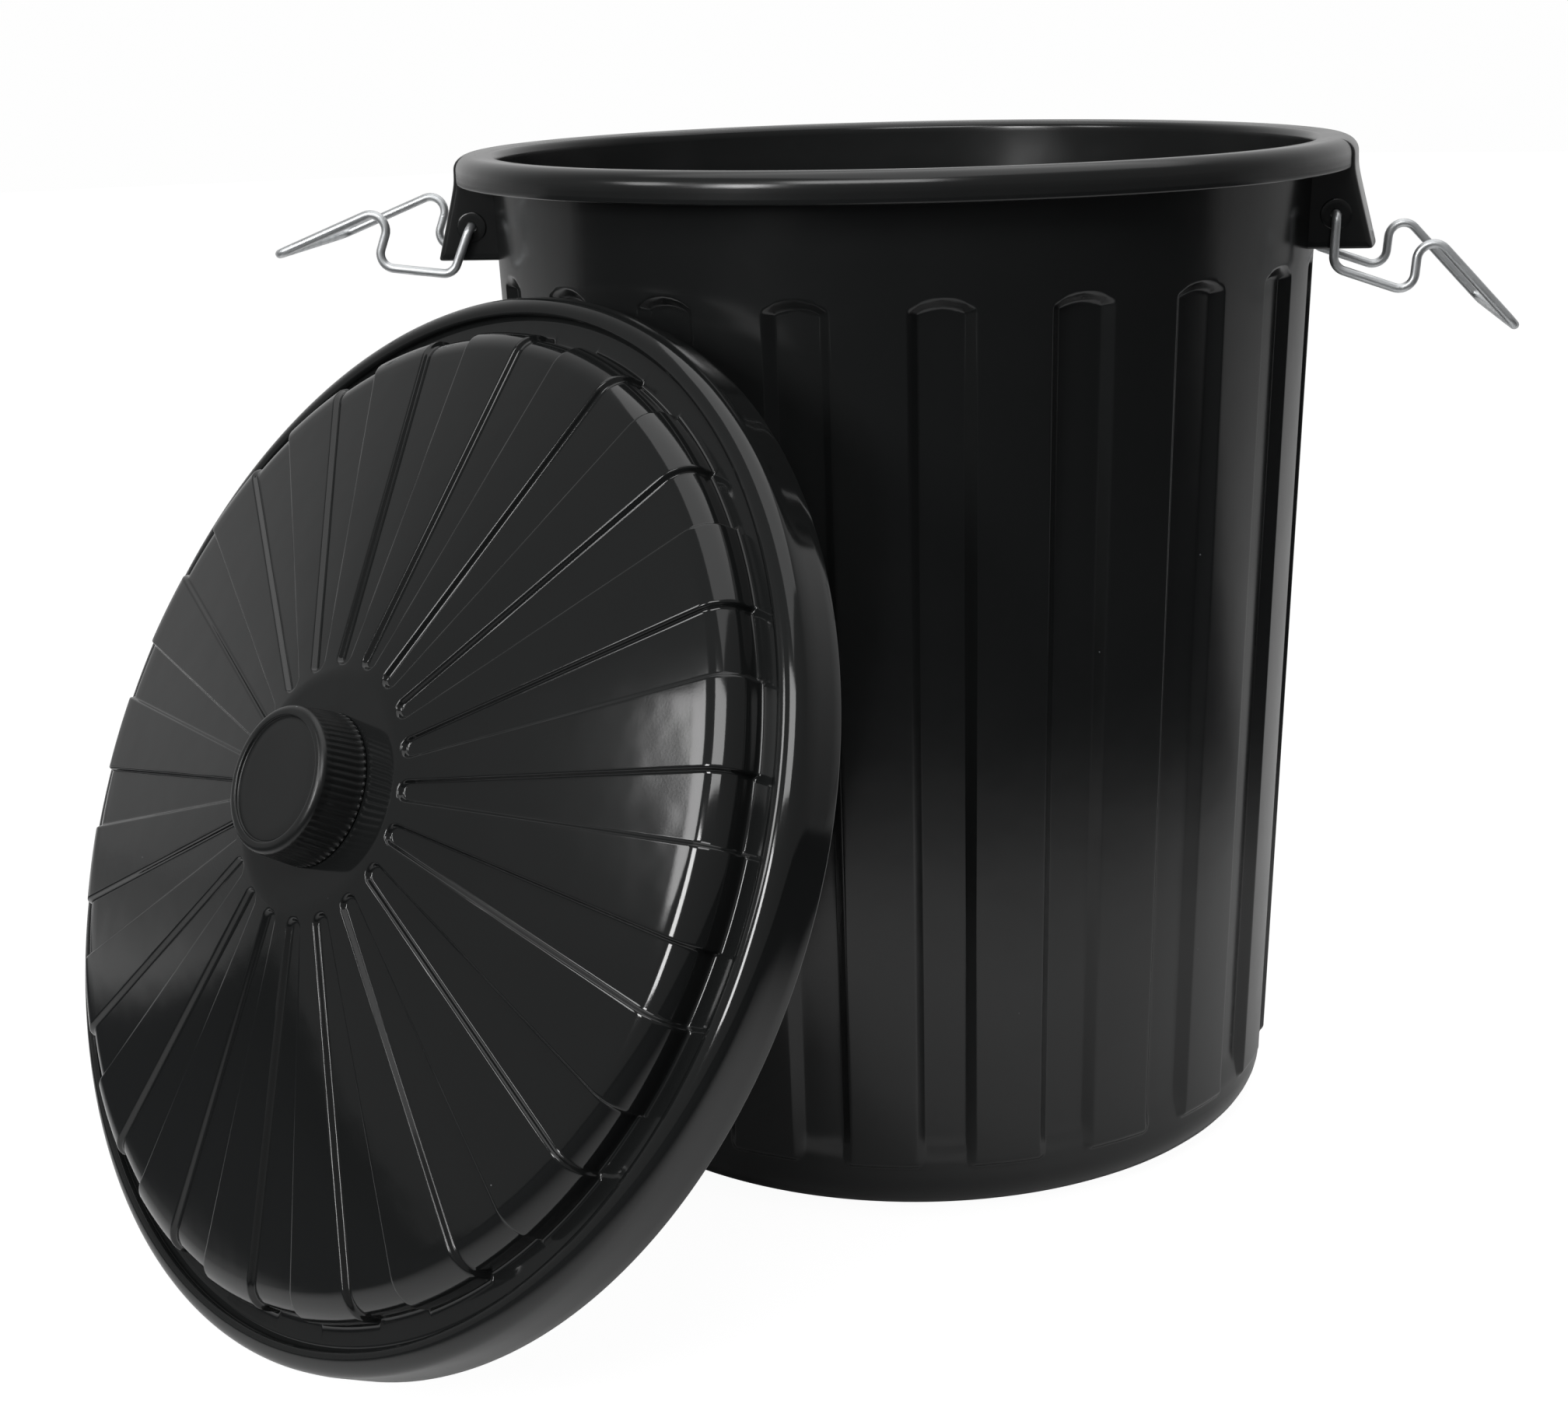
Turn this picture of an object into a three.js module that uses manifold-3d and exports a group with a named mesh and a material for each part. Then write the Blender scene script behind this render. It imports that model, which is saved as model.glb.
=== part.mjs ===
// A round fluted plastic bin with a domed lid and two wire clip handles.
// Units are millimetres and +Z is up. The origin is the centre of the bin's base, on the
// floor. The bracket ears stand on +X and -X. The lid is off and leans on the bin's wall.

import * as THREE from 'three';
import { mergeVertices } from 'three/addons/utils/BufferGeometryUtils.js';
import Module from 'manifold-3d';

const wasm = await Module();
wasm.setup();

// ---------------------------------------------------------------- driving dimensions

const CLEARANCE = 0.3; // between separate pieces at rest
const CUT_MARGIN = 5; // how far a cutting block runs past what it cuts
const ARC_STEPS = 3; // facets in a rounded corner

// bin
const BIN_HEIGHT = 554;
const BIN_WALL = 3;
const BASE_THICKNESS = 3.5;
const BASE_CORNER_RADIUS = 22;
const BASE_STEP = 2.6; // how far the plain band at the base lies inside the ridges
const FOOT_RADIUS = 211; // the ridges' cone, carried down to the floor
const MOUTH_RADIUS = 230; // the same cone at the mouth
const FLUTE_COUNT = 20;
const FLUTE_DEPTH = 5.4;
const RIDGE_SHARE = 0.53; // of a flute's pitch, at the ridge's face
const FLUTE_WALL_RUN = 5; // along the wall, as a recess steps out to its ridge
const RIDGE_FOOT_HEIGHT = 29.5; // where the ridges end above the floor
const FLOOR_BLEND_HEIGHT = 18; // over which the recesses' floors come out to the band
const FLUTE_TOP_DROP = 64.5; // from the mouth down to the recesses' arched tops
const FLUTE_ARCH_RISE = 6;
const ARCH_CLOSING = 0.4; // share of a recess's width that its arch has closed near the top
const ARCH_TOP_CLOSING = 0.55; // and at its very top
const STEP_RUN = 2; // height in which a ridge steps out at its foot and its arch

// rolled rim
const RIM_OVERHANG = 19; // past the ridges' cone at the mouth
const RIM_RADIUS = MOUTH_RADIUS + RIM_OVERHANG;
const RIM_DEPTH = 15.7;
const RIM_LIP = 3;
const RIM_CORNER_RADIUS = 8;
const RIM_INNER_CORNER = 4;
const RIM_TOP_FALL = 1.5; // from the rim's crown down to its inner edge

// bracket ears
const EAR_WIDTH = 117;
const EAR_WALL = 3;
const EAR_DROP = 42; // below the rim's lip
const EAR_SKIN_STAND = 1.2; // how far the ear's skin stands out over the rim
const EAR_FLARE = 12; // how far the ear's foot stands out past the rim
const BOSS_RADIUS = 8;
const BOSS_HEIGHT = 0.8;

// wire handles, seen along the pivot: out is away from the bin, up is up
const WIRE_RADIUS = 2.5;
const WIRE_SIDES = 8;
const WIRE_HOLE_CLEARANCE = 0.45;
const PIVOT_INSET = 14.3; // from the rim's outer face in to the pivot
const PIVOT_RADIUS = RIM_RADIUS - PIVOT_INSET;
const PIVOT_DROP = 39.2; // below the mouth
const WIRE_END_REACH = 12; // inside the ear's cheek
const ARM_SIDE_GAP = 1.5; // between the wire arm and the boss
const KNEE_OUT = 6;
const KNEE_DOWN = 27;
const HEEL_OUT = 50;
const HEEL_DOWN = 30;
const HOOK_OUT = 43.5;
const HOOK_UP = 7;
const GRIP_OUT = 107;
const GRIP_DOWN = 33;
const KNEE_BEND = 8;
const HOOK_BEND = 8.5;
const GRIP_BEND = 6;
const RIGHT_HANDLE_TURN = -15.1; // degrees, up from the drawn profile
const LEFT_HANDLE_TURN = 10.3;

// lid, measured from the lower edge of its skirt
const LID_OVERHANG = 19; // the skirt's lower edge past the rim
const LID_RADIUS = RIM_RADIUS + LID_OVERHANG;
const LID_WALL = 2.8;
const SKIRT_DRAFT = 0.7;
const LID_FLANGE_HEIGHT = 25;
const LID_BEAD_RADIUS = 5.3;
const LID_BEAD_RISE = 3.3; // above the flange
const GROOVE_DEPTH = 0.8;
const DOME_INSET = 24; // from the skirt's lower edge in to the dome's wall
const DOME_RADIUS = LID_RADIUS - DOME_INSET;
const DOME_WALL_HEIGHT = 6.5;
const SHOULDER_RADIUS = 16;
const LID_CROWN_HEIGHT = 73;
const CROWN_RADIUS = 58;
const LID_FLUTE_START = 63;
const LID_FLUTE_COUNT = 20;
const LID_FLUTE_DEPTH = 2.5;
const LID_RIDGE_SHARE = 0.55;
const LID_FLUTE_WALL_RUN = 2.4;
const LID_FLUTE_END_CLOSING = 0.4; // share of a recess's width closed at its rounded inner end
const LID_FLUTE_FLOOR_CLOSING = 0.1; // and where its floor starts

// knob
const KNOB_RADIUS = 38;
const KNOB_HEIGHT = 26;
const KNOB_DRAFT = 1;
const KNOB_WALL = 3;
const KNOB_EDGE_RADIUS = 3.5;
const KNOB_DISC_RADIUS = 30.5;
const KNOB_DISC_DEPTH = 1.6;
const STEM_RADIUS = 8;
const BARB_LIP = 1.6;
const BARB_LENGTH = 5;

// the lid's place
const LEAN_ANGLE = 26; // degrees back from upright
const LEAN_BEARING = -38.9; // degrees from -Y towards +X, where the lid stands
const LEAN_TWIST = -1.1; // degrees that its face is turned from square
const LID_SPIN = 12.2; // degrees, a recess's centre from the lid's right-hand side

// ---------------------------------------------------------------- materials

const blackPlastic = { color: 0x1a1b1d, roughness: 0.22, metalness: 0 };
const knobPlastic = { color: 0x18191b, roughness: 0.38, metalness: 0 };
const zincWire = { color: 0xb9bcbe, roughness: 0.35, metalness: 1 };

// ---------------------------------------------------------------- helpers

const radians = THREE.MathUtils.degToRad;
const point = (r, z) => new THREE.Vector2(r, z);

function closedGeometry(geometry) {
  // Shared corners are merged, flat slivers dropped and the faces turned outwards.
  const bare = geometry.clone();
  bare.deleteAttribute('normal');
  bare.deleteAttribute('uv');
  const merged = mergeVertices(bare, 1e-4);
  const position = merged.attributes.position;
  const kept = [];
  let volume = 0;
  const [a, b, c] = [new THREE.Vector3(), new THREE.Vector3(), new THREE.Vector3()];
  for (let i = 0; i < merged.index.count; i += 3) {
    const corners = [0, 1, 2].map((k) => merged.index.getX(i + k));
    if (new Set(corners).size < 3) continue;
    kept.push(...corners);
    a.fromBufferAttribute(position, corners[0]);
    b.fromBufferAttribute(position, corners[1]);
    c.fromBufferAttribute(position, corners[2]);
    volume += a.dot(b.cross(c));
  }
  if (volume < 0) kept.reverse();
  merged.setIndex(kept);
  return merged;
}

function toSolid(geometry) {
  const closed = closedGeometry(geometry);
  return new wasm.Manifold(new wasm.Mesh({
    numProp: 3,
    vertProperties: new Float32Array(closed.attributes.position.array),
    triVerts: new Uint32Array(closed.index.array),
  }));
}

function toGeometry(solid) {
  const mesh = solid.getMesh();
  const geometry = new THREE.BufferGeometry();
  geometry.setAttribute('position', new THREE.BufferAttribute(mesh.vertProperties, 3));
  geometry.setIndex(new THREE.BufferAttribute(mesh.triVerts, 1));
  return geometry;
}

function namedMesh(name, geometry, finish) {
  const mesh = new THREE.Mesh(geometry, new THREE.MeshStandardMaterial(finish));
  mesh.geometry.computeVertexNormals();
  mesh.name = name;
  return mesh;
}

// A revolved outline about +Z. Each corner of the outline is a Vector2 of radius and height.
function revolve(outline, segments) {
  const geometry = new THREE.LatheGeometry(outline, segments);
  geometry.rotateX(Math.PI / 2);
  return geometry;
}

// Corners along an arc in the radius and height plane, both ends included.
function arcPoints(centreR, centreZ, radius, fromDegrees, toDegrees, steps) {
  return Array.from({ length: steps + 1 }, (_, i) => {
    const angle = radians(fromDegrees + ((toDegrees - fromDegrees) * i) / steps);
    return point(centreR + radius * Math.cos(angle), centreZ + radius * Math.sin(angle));
  });
}

// ---------------------------------------------------------------- flutes

// Four corners go round each flute: the two edges of the ridge's face, then the two edges
// of the recess's floor. Each corner of the outline may carry a flute: how far the recess
// lies from the ridge (in radius and height) and how far its arch has closed, from 0 to 1.
const CORNERS_PER_FLUTE = 4;

function flutedShell(outline, fluteCount, ridgeShare, wallRunAngle) {
  const pitch = (2 * Math.PI) / fluteCount;
  const halfRidge = (ridgeShare * pitch) / 2;
  const recessMiddle = pitch / 2;
  const halfFloor = recessMiddle - halfRidge - wallRunAngle;
  const closed = [...outline, outline[0]];
  const segments = fluteCount * CORNERS_PER_FLUTE;
  const geometry = new THREE.LatheGeometry(closed.map((corner) => point(corner.r, corner.z)), segments);
  geometry.rotateX(Math.PI / 2);
  const position = geometry.attributes.position;
  for (let step = 0; step <= segments; step += 1) {
    const flute = Math.floor(step / CORNERS_PER_FLUTE) % fluteCount;
    const role = step % CORNERS_PER_FLUTE;
    const evenAngle = ((step % segments) + 0.5) * (pitch / CORNERS_PER_FLUTE) - pitch / 4;
    for (let k = 0; k < closed.length; k += 1) {
      const corner = closed[k];
      const index = step * closed.length + k;
      const onFloor = role >= 2;
      let radius = corner.r;
      let height = corner.z;
      let angle = evenAngle;
      if (corner.flute) {
        const squeeze = 1 - corner.flute.arch;
        const side = role === 0 || role === 3 ? -1 : 1;
        const ridgeEdge = flute * pitch + side * (recessMiddle - (recessMiddle - halfRidge) * squeeze);
        const floorEdge = flute * pitch + recessMiddle - (role === 3 ? -1 : 1) * halfFloor * squeeze;
        angle = onFloor ? floorEdge : ridgeEdge;
        radius += onFloor ? corner.flute.dr : 0;
        height += onFloor ? corner.flute.dz : 0;
      }
      position.setXYZ(index, radius * Math.cos(angle), radius * Math.sin(angle), height);
    }
  }
  return geometry;
}

const plain = (r, z) => ({ r, z });
const fluted = (r, z, dr, dz, arch = 0) => ({ r, z, flute: { dr, dz, arch } });

// ---------------------------------------------------------------- bin

const DRAFT = (MOUTH_RADIUS - FOOT_RADIUS) / BIN_HEIGHT;
const ridgeRadius = (z) => FOOT_RADIUS + DRAFT * z;
const baseRadius = ridgeRadius(RIDGE_FOOT_HEIGHT) - BASE_STEP;
const lipBottom = BIN_HEIGHT - RIM_DEPTH;
const fluteTop = BIN_HEIGHT - FLUTE_TOP_DROP;
const rimHollowTop = BIN_HEIGHT - RIM_LIP;

function binOutline() {
  const blendTop = RIDGE_FOOT_HEIGHT + FLOOR_BLEND_HEIGHT;
  const innerFoot = RIDGE_FOOT_HEIGHT + BIN_WALL;
  const archFoot = fluteTop - FLUTE_ARCH_RISE;
  const archMiddle = fluteTop - STEP_RUN;
  const aboveArch = fluteTop + FLUTE_ARCH_RISE;
  const corner = arcPoints(
    baseRadius - BASE_CORNER_RADIUS, BASE_CORNER_RADIUS, BASE_CORNER_RADIUS, -90, 0, ARC_STEPS);
  const innerCornerRadius = BASE_CORNER_RADIUS - BIN_WALL;
  const innerCorner = arcPoints(
    baseRadius - BASE_CORNER_RADIUS, BASE_THICKNESS + innerCornerRadius, innerCornerRadius,
    0, -90, ARC_STEPS);
  const flutedRing = (z, arch, inset) => fluted(ridgeRadius(z) - inset, z, -FLUTE_DEPTH, 0, arch);
  const outside = [
    ...corner.map(({ x, y }) => plain(x, y)),
    fluted(baseRadius, RIDGE_FOOT_HEIGHT - STEP_RUN, 0, 0),
    fluted(ridgeRadius(RIDGE_FOOT_HEIGHT), RIDGE_FOOT_HEIGHT, -BASE_STEP, 0),
    flutedRing(blendTop, 0, 0),
    flutedRing(archFoot, 0, 0),
    flutedRing(archMiddle, ARCH_CLOSING, 0),
    fluted(ridgeRadius(fluteTop), fluteTop, 0, 0, ARCH_TOP_CLOSING),
    plain(ridgeRadius(aboveArch), aboveArch),
    plain(ridgeRadius(lipBottom), lipBottom),
  ];
  const innerEdge = BIN_HEIGHT - RIM_TOP_FALL;
  const rim = [
    plain(ridgeRadius(rimHollowTop), rimHollowTop),
    plain(RIM_RADIUS - RIM_LIP, rimHollowTop),
    plain(RIM_RADIUS - RIM_LIP, lipBottom),
    plain(RIM_RADIUS, lipBottom),
    ...arcPoints(
      RIM_RADIUS - RIM_CORNER_RADIUS, BIN_HEIGHT - RIM_CORNER_RADIUS, RIM_CORNER_RADIUS, 0, 90, ARC_STEPS)
      .map(({ x, y }) => plain(x, y)),
    plain(ridgeRadius(BIN_HEIGHT) - BIN_WALL + RIM_INNER_CORNER, innerEdge),
    plain(ridgeRadius(BIN_HEIGHT) - BIN_WALL, innerEdge - RIM_INNER_CORNER),
  ];
  const inside = [
    plain(ridgeRadius(aboveArch) - BIN_WALL, aboveArch),
    fluted(ridgeRadius(fluteTop) - BIN_WALL, fluteTop - BIN_WALL, 0, 0, ARCH_TOP_CLOSING),
    flutedRing(archMiddle - BIN_WALL, ARCH_CLOSING, BIN_WALL),
    flutedRing(archFoot - BIN_WALL, 0, BIN_WALL),
    flutedRing(blendTop, 0, BIN_WALL),
    fluted(ridgeRadius(innerFoot) - BIN_WALL, innerFoot, -BASE_STEP, 0),
    fluted(baseRadius - BIN_WALL, RIDGE_FOOT_HEIGHT, 0, 0),
    ...innerCorner.map(({ x, y }) => plain(x, y)),
  ];
  return [plain(0, 0), ...outside, ...rim, ...inside, plain(0, BASE_THICKNESS)];
}

function slab(width, depth, lowZ, highZ) {
  // A block from the axis out to +X, centred on it.
  const block = new THREE.BoxGeometry(depth, width, highZ - lowZ);
  block.translate(depth / 2, 0, (lowZ + highZ) / 2);
  return toSolid(block);
}

const earBottom = lipBottom - EAR_DROP;
const pivotHeight = BIN_HEIGHT - PIVOT_DROP;
const bossFace = EAR_WIDTH / 2 + BOSS_HEIGHT;
const armSide = bossFace + ARM_SIDE_GAP + WIRE_RADIUS; // the wire arm's centre from the middle

function crossPin(radius, fromY, toY, sides) {
  const pin = new THREE.CylinderGeometry(radius, radius, toY - fromY, sides);
  pin.translate(PIVOT_RADIUS, (fromY + toY) / 2, pivotHeight);
  return toSolid(pin);
}

function earSolid() {
  const segments = FLUTE_COUNT * CORNERS_PER_FLUTE;
  const reach = RIM_RADIUS + EAR_FLARE + CUT_MARGIN;
  const skin = RIM_RADIUS + EAR_SKIN_STAND;
  const skinTop = BIN_HEIGHT - RIM_CORNER_RADIUS;
  const outer = revolve([
    point(ridgeRadius(earBottom) - BIN_WALL / 2, earBottom),
    point(RIM_RADIUS + EAR_FLARE, earBottom),
    point(skin, lipBottom),
    point(skin, skinTop),
    point(RIM_RADIUS - RIM_CORNER_RADIUS, rimHollowTop + RIM_LIP / 2),
    point(ridgeRadius(rimHollowTop) - BIN_WALL / 2, rimHollowTop + RIM_LIP / 2),
    point(ridgeRadius(earBottom) - BIN_WALL / 2, earBottom),
  ], segments);
  const inner = revolve([
    point(ridgeRadius(earBottom) - BIN_WALL, earBottom - CUT_MARGIN),
    point(RIM_RADIUS + EAR_FLARE - EAR_WALL, earBottom - CUT_MARGIN),
    point(RIM_RADIUS + EAR_FLARE - EAR_WALL, earBottom),
    point(RIM_RADIUS - RIM_LIP, lipBottom),
    point(RIM_RADIUS - RIM_LIP, rimHollowTop),
    point(ridgeRadius(rimHollowTop) - BIN_WALL, rimHollowTop),
    point(ridgeRadius(earBottom) - BIN_WALL, earBottom - CUT_MARGIN),
  ], segments);
  const block = toSolid(outer).intersect(slab(EAR_WIDTH, reach, earBottom - CUT_MARGIN, BIN_HEIGHT));
  const hollow = toSolid(inner)
    .intersect(slab(EAR_WIDTH - 2 * EAR_WALL, reach, earBottom - CUT_MARGIN, BIN_HEIGHT));
  const cheek = EAR_WIDTH / 2;
  let ear = block.subtract(hollow);
  for (const side of [-1, 1]) {
    const span = (from, to) => (side > 0 ? [from, to] : [-to, -from]);
    ear = ear.add(crossPin(BOSS_RADIUS, ...span(cheek - EAR_WALL / 2, bossFace), 20));
    ear = ear.subtract(crossPin(
      WIRE_RADIUS + WIRE_HOLE_CLEARANCE, ...span(cheek - 2 * EAR_WALL, bossFace + CUT_MARGIN), 16));
  }
  return ear;
}

function binSolid() {
  const wallRunAngle = FLUTE_WALL_RUN / MOUTH_RADIUS;
  const shell = toSolid(flutedShell(binOutline(), FLUTE_COUNT, RIDGE_SHARE, wallRunAngle));
  const rightEar = earSolid();
  return shell.add(rightEar).add(rightEar.rotate([0, 0, 180]));
}

// ---------------------------------------------------------------- wire handles

// A centreline of straight runs and round bends, with stations only where it turns.
class BentWire extends THREE.Curve {
  constructor(corners, bendRadii, stepsPerBend) {
    super();
    this.stations = [];
    const add = (place, along) => this.stations.push({ place, along });
    const runs = corners.slice(1).map((corner, i) => corner.clone().sub(corners[i]).normalize());
    add(corners[0], runs[0]);
    for (let i = 1; i < corners.length - 1; i += 1) {
      const [before, after] = [runs[i - 1], runs[i]];
      const turn = before.angleTo(after);
      const radius = bendRadii[i - 1];
      const start = corners[i].clone().addScaledVector(before, -radius * Math.tan(turn / 2));
      const axis = before.clone().cross(after).normalize();
      const toCentre = axis.clone().cross(before).multiplyScalar(radius);
      const centre = start.clone().add(toCentre);
      for (let k = 0; k <= stepsPerBend; k += 1) {
        const angle = (turn * k) / stepsPerBend;
        const spoke = toCentre.clone().negate().applyAxisAngle(axis, angle);
        add(centre.clone().add(spoke), before.clone().applyAxisAngle(axis, angle));
      }
    }
    add(corners[corners.length - 1], runs[runs.length - 1]);
  }

  get steps() {
    return this.stations.length - 1;
  }

  getPointAt(u) {
    return this.stations[Math.round(u * this.steps)].place.clone();
  }

  getTangentAt(u) {
    return this.stations[Math.round(u * this.steps)].along.clone();
  }
}

function handleGeometry() {
  const innerEnd = EAR_WIDTH / 2 - EAR_WALL - WIRE_END_REACH;
  const profile = [
    [0, 0],
    [KNEE_OUT, -KNEE_DOWN],
    [HEEL_OUT, -HEEL_DOWN],
    [HOOK_OUT, HOOK_UP],
    [GRIP_OUT, -GRIP_DOWN],
  ];
  const arm = (side) => profile.map(([out, up]) => new THREE.Vector3(out, side * armSide, up));
  const corners = [
    new THREE.Vector3(0, -innerEnd, 0),
    ...arm(-1),
    ...arm(1).reverse(),
    new THREE.Vector3(0, innerEnd, 0),
  ];
  const pivotBend = armSide - bossFace;
  const bends = [pivotBend, KNEE_BEND, KNEE_BEND, HOOK_BEND, GRIP_BEND];
  const path = new BentWire(corners, [...bends, ...bends.slice().reverse()], 4);
  const section = new THREE.Shape(Array.from({ length: WIRE_SIDES }, (_, i) => {
    const angle = ((i + 0.5) * 2 * Math.PI) / WIRE_SIDES;
    return point(WIRE_RADIUS * Math.cos(angle), WIRE_RADIUS * Math.sin(angle));
  }));
  const wire = new THREE.ExtrudeGeometry(section, {
    steps: path.steps,
    extrudePath: path,
    bevelEnabled: false,
  });
  return closedGeometry(wire);
}

function wireHandle(name, turn) {
  const handle = namedMesh(name, handleGeometry(), zincWire);
  handle.position.set(PIVOT_RADIUS, 0, pivotHeight);
  handle.rotation.y = -radians(turn);
  return handle;
}

// ---------------------------------------------------------------- lid

const shoulderR = DOME_RADIUS - SHOULDER_RADIUS;
const shoulderZ = LID_FLANGE_HEIGHT + DOME_WALL_HEIGHT;
const crownDrop = LID_CROWN_HEIGHT - shoulderZ;
// The cone from the crown is tangent to the shoulder's arc at this slope.
const coneSlope = (() => {
  const run = shoulderR - CROWN_RADIUS;
  const distance = Math.hypot(run, crownDrop);
  return Math.asin(crownDrop / distance) - Math.asin(SHOULDER_RADIUS / distance);
})();
const stemHole = STEM_RADIUS + CLEARANCE;

function lidOutline() {
  const coneHeight = (r) => LID_CROWN_HEIGHT - (r - CROWN_RADIUS) * Math.tan(coneSlope);
  const recess = (angle) => [-LID_FLUTE_DEPTH * Math.cos(angle), -LID_FLUTE_DEPTH * Math.sin(angle)];
  const steep = Math.PI / 2 - coneSlope;
  const floorStart = LID_FLUTE_START + LID_FLUTE_DEPTH;
  const shoulder = (radius, angles) => angles.map((angle) => fluted(
    shoulderR + radius * Math.cos(angle), shoulderZ + radius * Math.sin(angle), ...recess(angle)));
  const shoulderAngles = Array.from({ length: ARC_STEPS + 1 }, (_, i) => steep * (1 - i / ARC_STEPS));
  const beadR = LID_RADIUS - SKIRT_DRAFT - LID_BEAD_RADIUS;
  const beadZ = LID_FLANGE_HEIGHT + LID_BEAD_RISE - LID_BEAD_RADIUS;
  const underside = LID_FLANGE_HEIGHT - LID_WALL;
  const outside = [
    plain(stemHole, LID_CROWN_HEIGHT),
    plain(CROWN_RADIUS, LID_CROWN_HEIGHT),
    fluted(LID_FLUTE_START, coneHeight(LID_FLUTE_START), 0, 0, LID_FLUTE_END_CLOSING),
    fluted(floorStart, coneHeight(floorStart), ...recess(steep), LID_FLUTE_FLOOR_CLOSING),
    ...shoulder(SHOULDER_RADIUS, shoulderAngles),
    fluted(DOME_RADIUS, LID_FLANGE_HEIGHT, -LID_FLUTE_DEPTH, 0),
    plain(beadR - LID_BEAD_RADIUS - GROOVE_DEPTH, LID_FLANGE_HEIGHT),
    plain(beadR - LID_BEAD_RADIUS, LID_FLANGE_HEIGHT - GROOVE_DEPTH),
    ...arcPoints(beadR, beadZ, LID_BEAD_RADIUS, 135, 0, ARC_STEPS).map(({ x, y }) => plain(x, y)),
    plain(LID_RADIUS, 0),
  ];
  const inside = [
    plain(LID_RADIUS - LID_WALL, 0),
    plain(LID_RADIUS - SKIRT_DRAFT - LID_WALL, underside - LID_WALL),
    plain(LID_RADIUS - SKIRT_DRAFT - 2 * LID_WALL, underside),
    fluted(DOME_RADIUS - LID_WALL, underside, -LID_FLUTE_DEPTH, 0),
    ...shoulder(SHOULDER_RADIUS - LID_WALL, shoulderAngles.slice().reverse()),
    fluted(floorStart, coneHeight(floorStart) - LID_WALL, ...recess(steep), LID_FLUTE_FLOOR_CLOSING),
    fluted(LID_FLUTE_START, coneHeight(LID_FLUTE_START) - LID_WALL, 0, 0, LID_FLUTE_END_CLOSING),
    plain(stemHole, LID_CROWN_HEIGHT - LID_WALL),
  ];
  return [...outside, ...inside];
}

function lidGeometry() {
  const wallRunAngle = LID_FLUTE_WALL_RUN / DOME_RADIUS;
  const shell = flutedShell(lidOutline(), LID_FLUTE_COUNT, LID_RIDGE_SHARE, wallRunAngle);
  const toRecess = Math.PI / LID_FLUTE_COUNT;
  shell.rotateZ(radians(LID_SPIN) - toRecess);
  return closedGeometry(shell);
}

// ---------------------------------------------------------------- knob

// Measured from the lid's crown: a hollow cap with a stem that snaps through the lid.
function knobGeometry() {
  const edge = KNOB_EDGE_RADIUS;
  const topR = KNOB_RADIUS - KNOB_DRAFT;
  const ceiling = KNOB_HEIGHT - KNOB_DISC_DEPTH - KNOB_WALL;
  const barbTop = -LID_WALL - CLEARANCE;
  const outline = [
    point(0, KNOB_HEIGHT - KNOB_DISC_DEPTH),
    point(KNOB_DISC_RADIUS, KNOB_HEIGHT - KNOB_DISC_DEPTH),
    point(KNOB_DISC_RADIUS + KNOB_DISC_DEPTH, KNOB_HEIGHT),
    ...arcPoints(topR - edge, KNOB_HEIGHT - edge, edge, 90, 0, ARC_STEPS),
    point(KNOB_RADIUS, CLEARANCE),
    point(KNOB_RADIUS - KNOB_WALL, CLEARANCE),
    point(topR - KNOB_WALL, ceiling),
    point(STEM_RADIUS, ceiling),
    point(STEM_RADIUS, barbTop),
    point(STEM_RADIUS + BARB_LIP, barbTop),
    point(STEM_RADIUS - BARB_LIP, barbTop - BARB_LENGTH),
    point(0, barbTop - BARB_LENGTH),
  ];
  return closedGeometry(revolve(outline, 40));
}

// ---------------------------------------------------------------- the leaning lid

// The lid stands on its lowest skirt edge and moves in until that skirt is CLEARANCE from
// the bin's ridges.
function leaningPlace(lid) {
  const tilt = radians(LEAN_ANGLE);
  const bearing = radians(LEAN_BEARING);
  const facing = radians(LEAN_BEARING + LEAN_TWIST);
  const turned = new THREE.Group();
  turned.rotation.z = facing;
  const tilted = new THREE.Group();
  tilted.rotation.x = Math.PI / 2 - tilt;
  turned.add(tilted);
  tilted.add(lid);
  turned.updateMatrixWorld(true);
  const position = lid.geometry.attributes.position;
  const corners = Array.from({ length: position.count }, (_, i) =>
    new THREE.Vector3().fromBufferAttribute(position, i).applyMatrix4(lid.matrixWorld));
  const lift = -Math.min(...corners.map((corner) => corner.z));
  const gapAt = (distance) => Math.min(...corners.map((corner) => {
    const x = corner.x + distance * Math.sin(bearing);
    const y = corner.y - distance * Math.cos(bearing);
    return Math.hypot(x, y) - ridgeRadius(corner.z + lift);
  }));
  let near = MOUTH_RADIUS;
  let far = 2 * (MOUTH_RADIUS + LID_RADIUS);
  for (let i = 0; i < 50; i += 1) {
    const middle = (near + far) / 2;
    if (gapAt(middle) < CLEARANCE) near = middle;
    else far = middle;
  }
  turned.position.set(far * Math.sin(bearing), -far * Math.cos(bearing), lift);
  return { turned, tilted };
}

// ---------------------------------------------------------------- assembly

const assembly = new THREE.Group();
assembly.add(namedMesh('bin', toGeometry(binSolid()), blackPlastic));

assembly.add(wireHandle('right_handle', RIGHT_HANDLE_TURN));
const leftSide = new THREE.Group();
leftSide.rotation.z = Math.PI;
leftSide.add(wireHandle('left_handle', LEFT_HANDLE_TURN));
assembly.add(leftSide);

const lid = namedMesh('lid', lidGeometry(), blackPlastic);
const { turned, tilted } = leaningPlace(lid);
const knob = namedMesh('lid_knob', knobGeometry(), knobPlastic);
knob.position.z = LID_CROWN_HEIGHT;
tilted.add(knob);
assembly.add(turned);

export default assembly;
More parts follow.
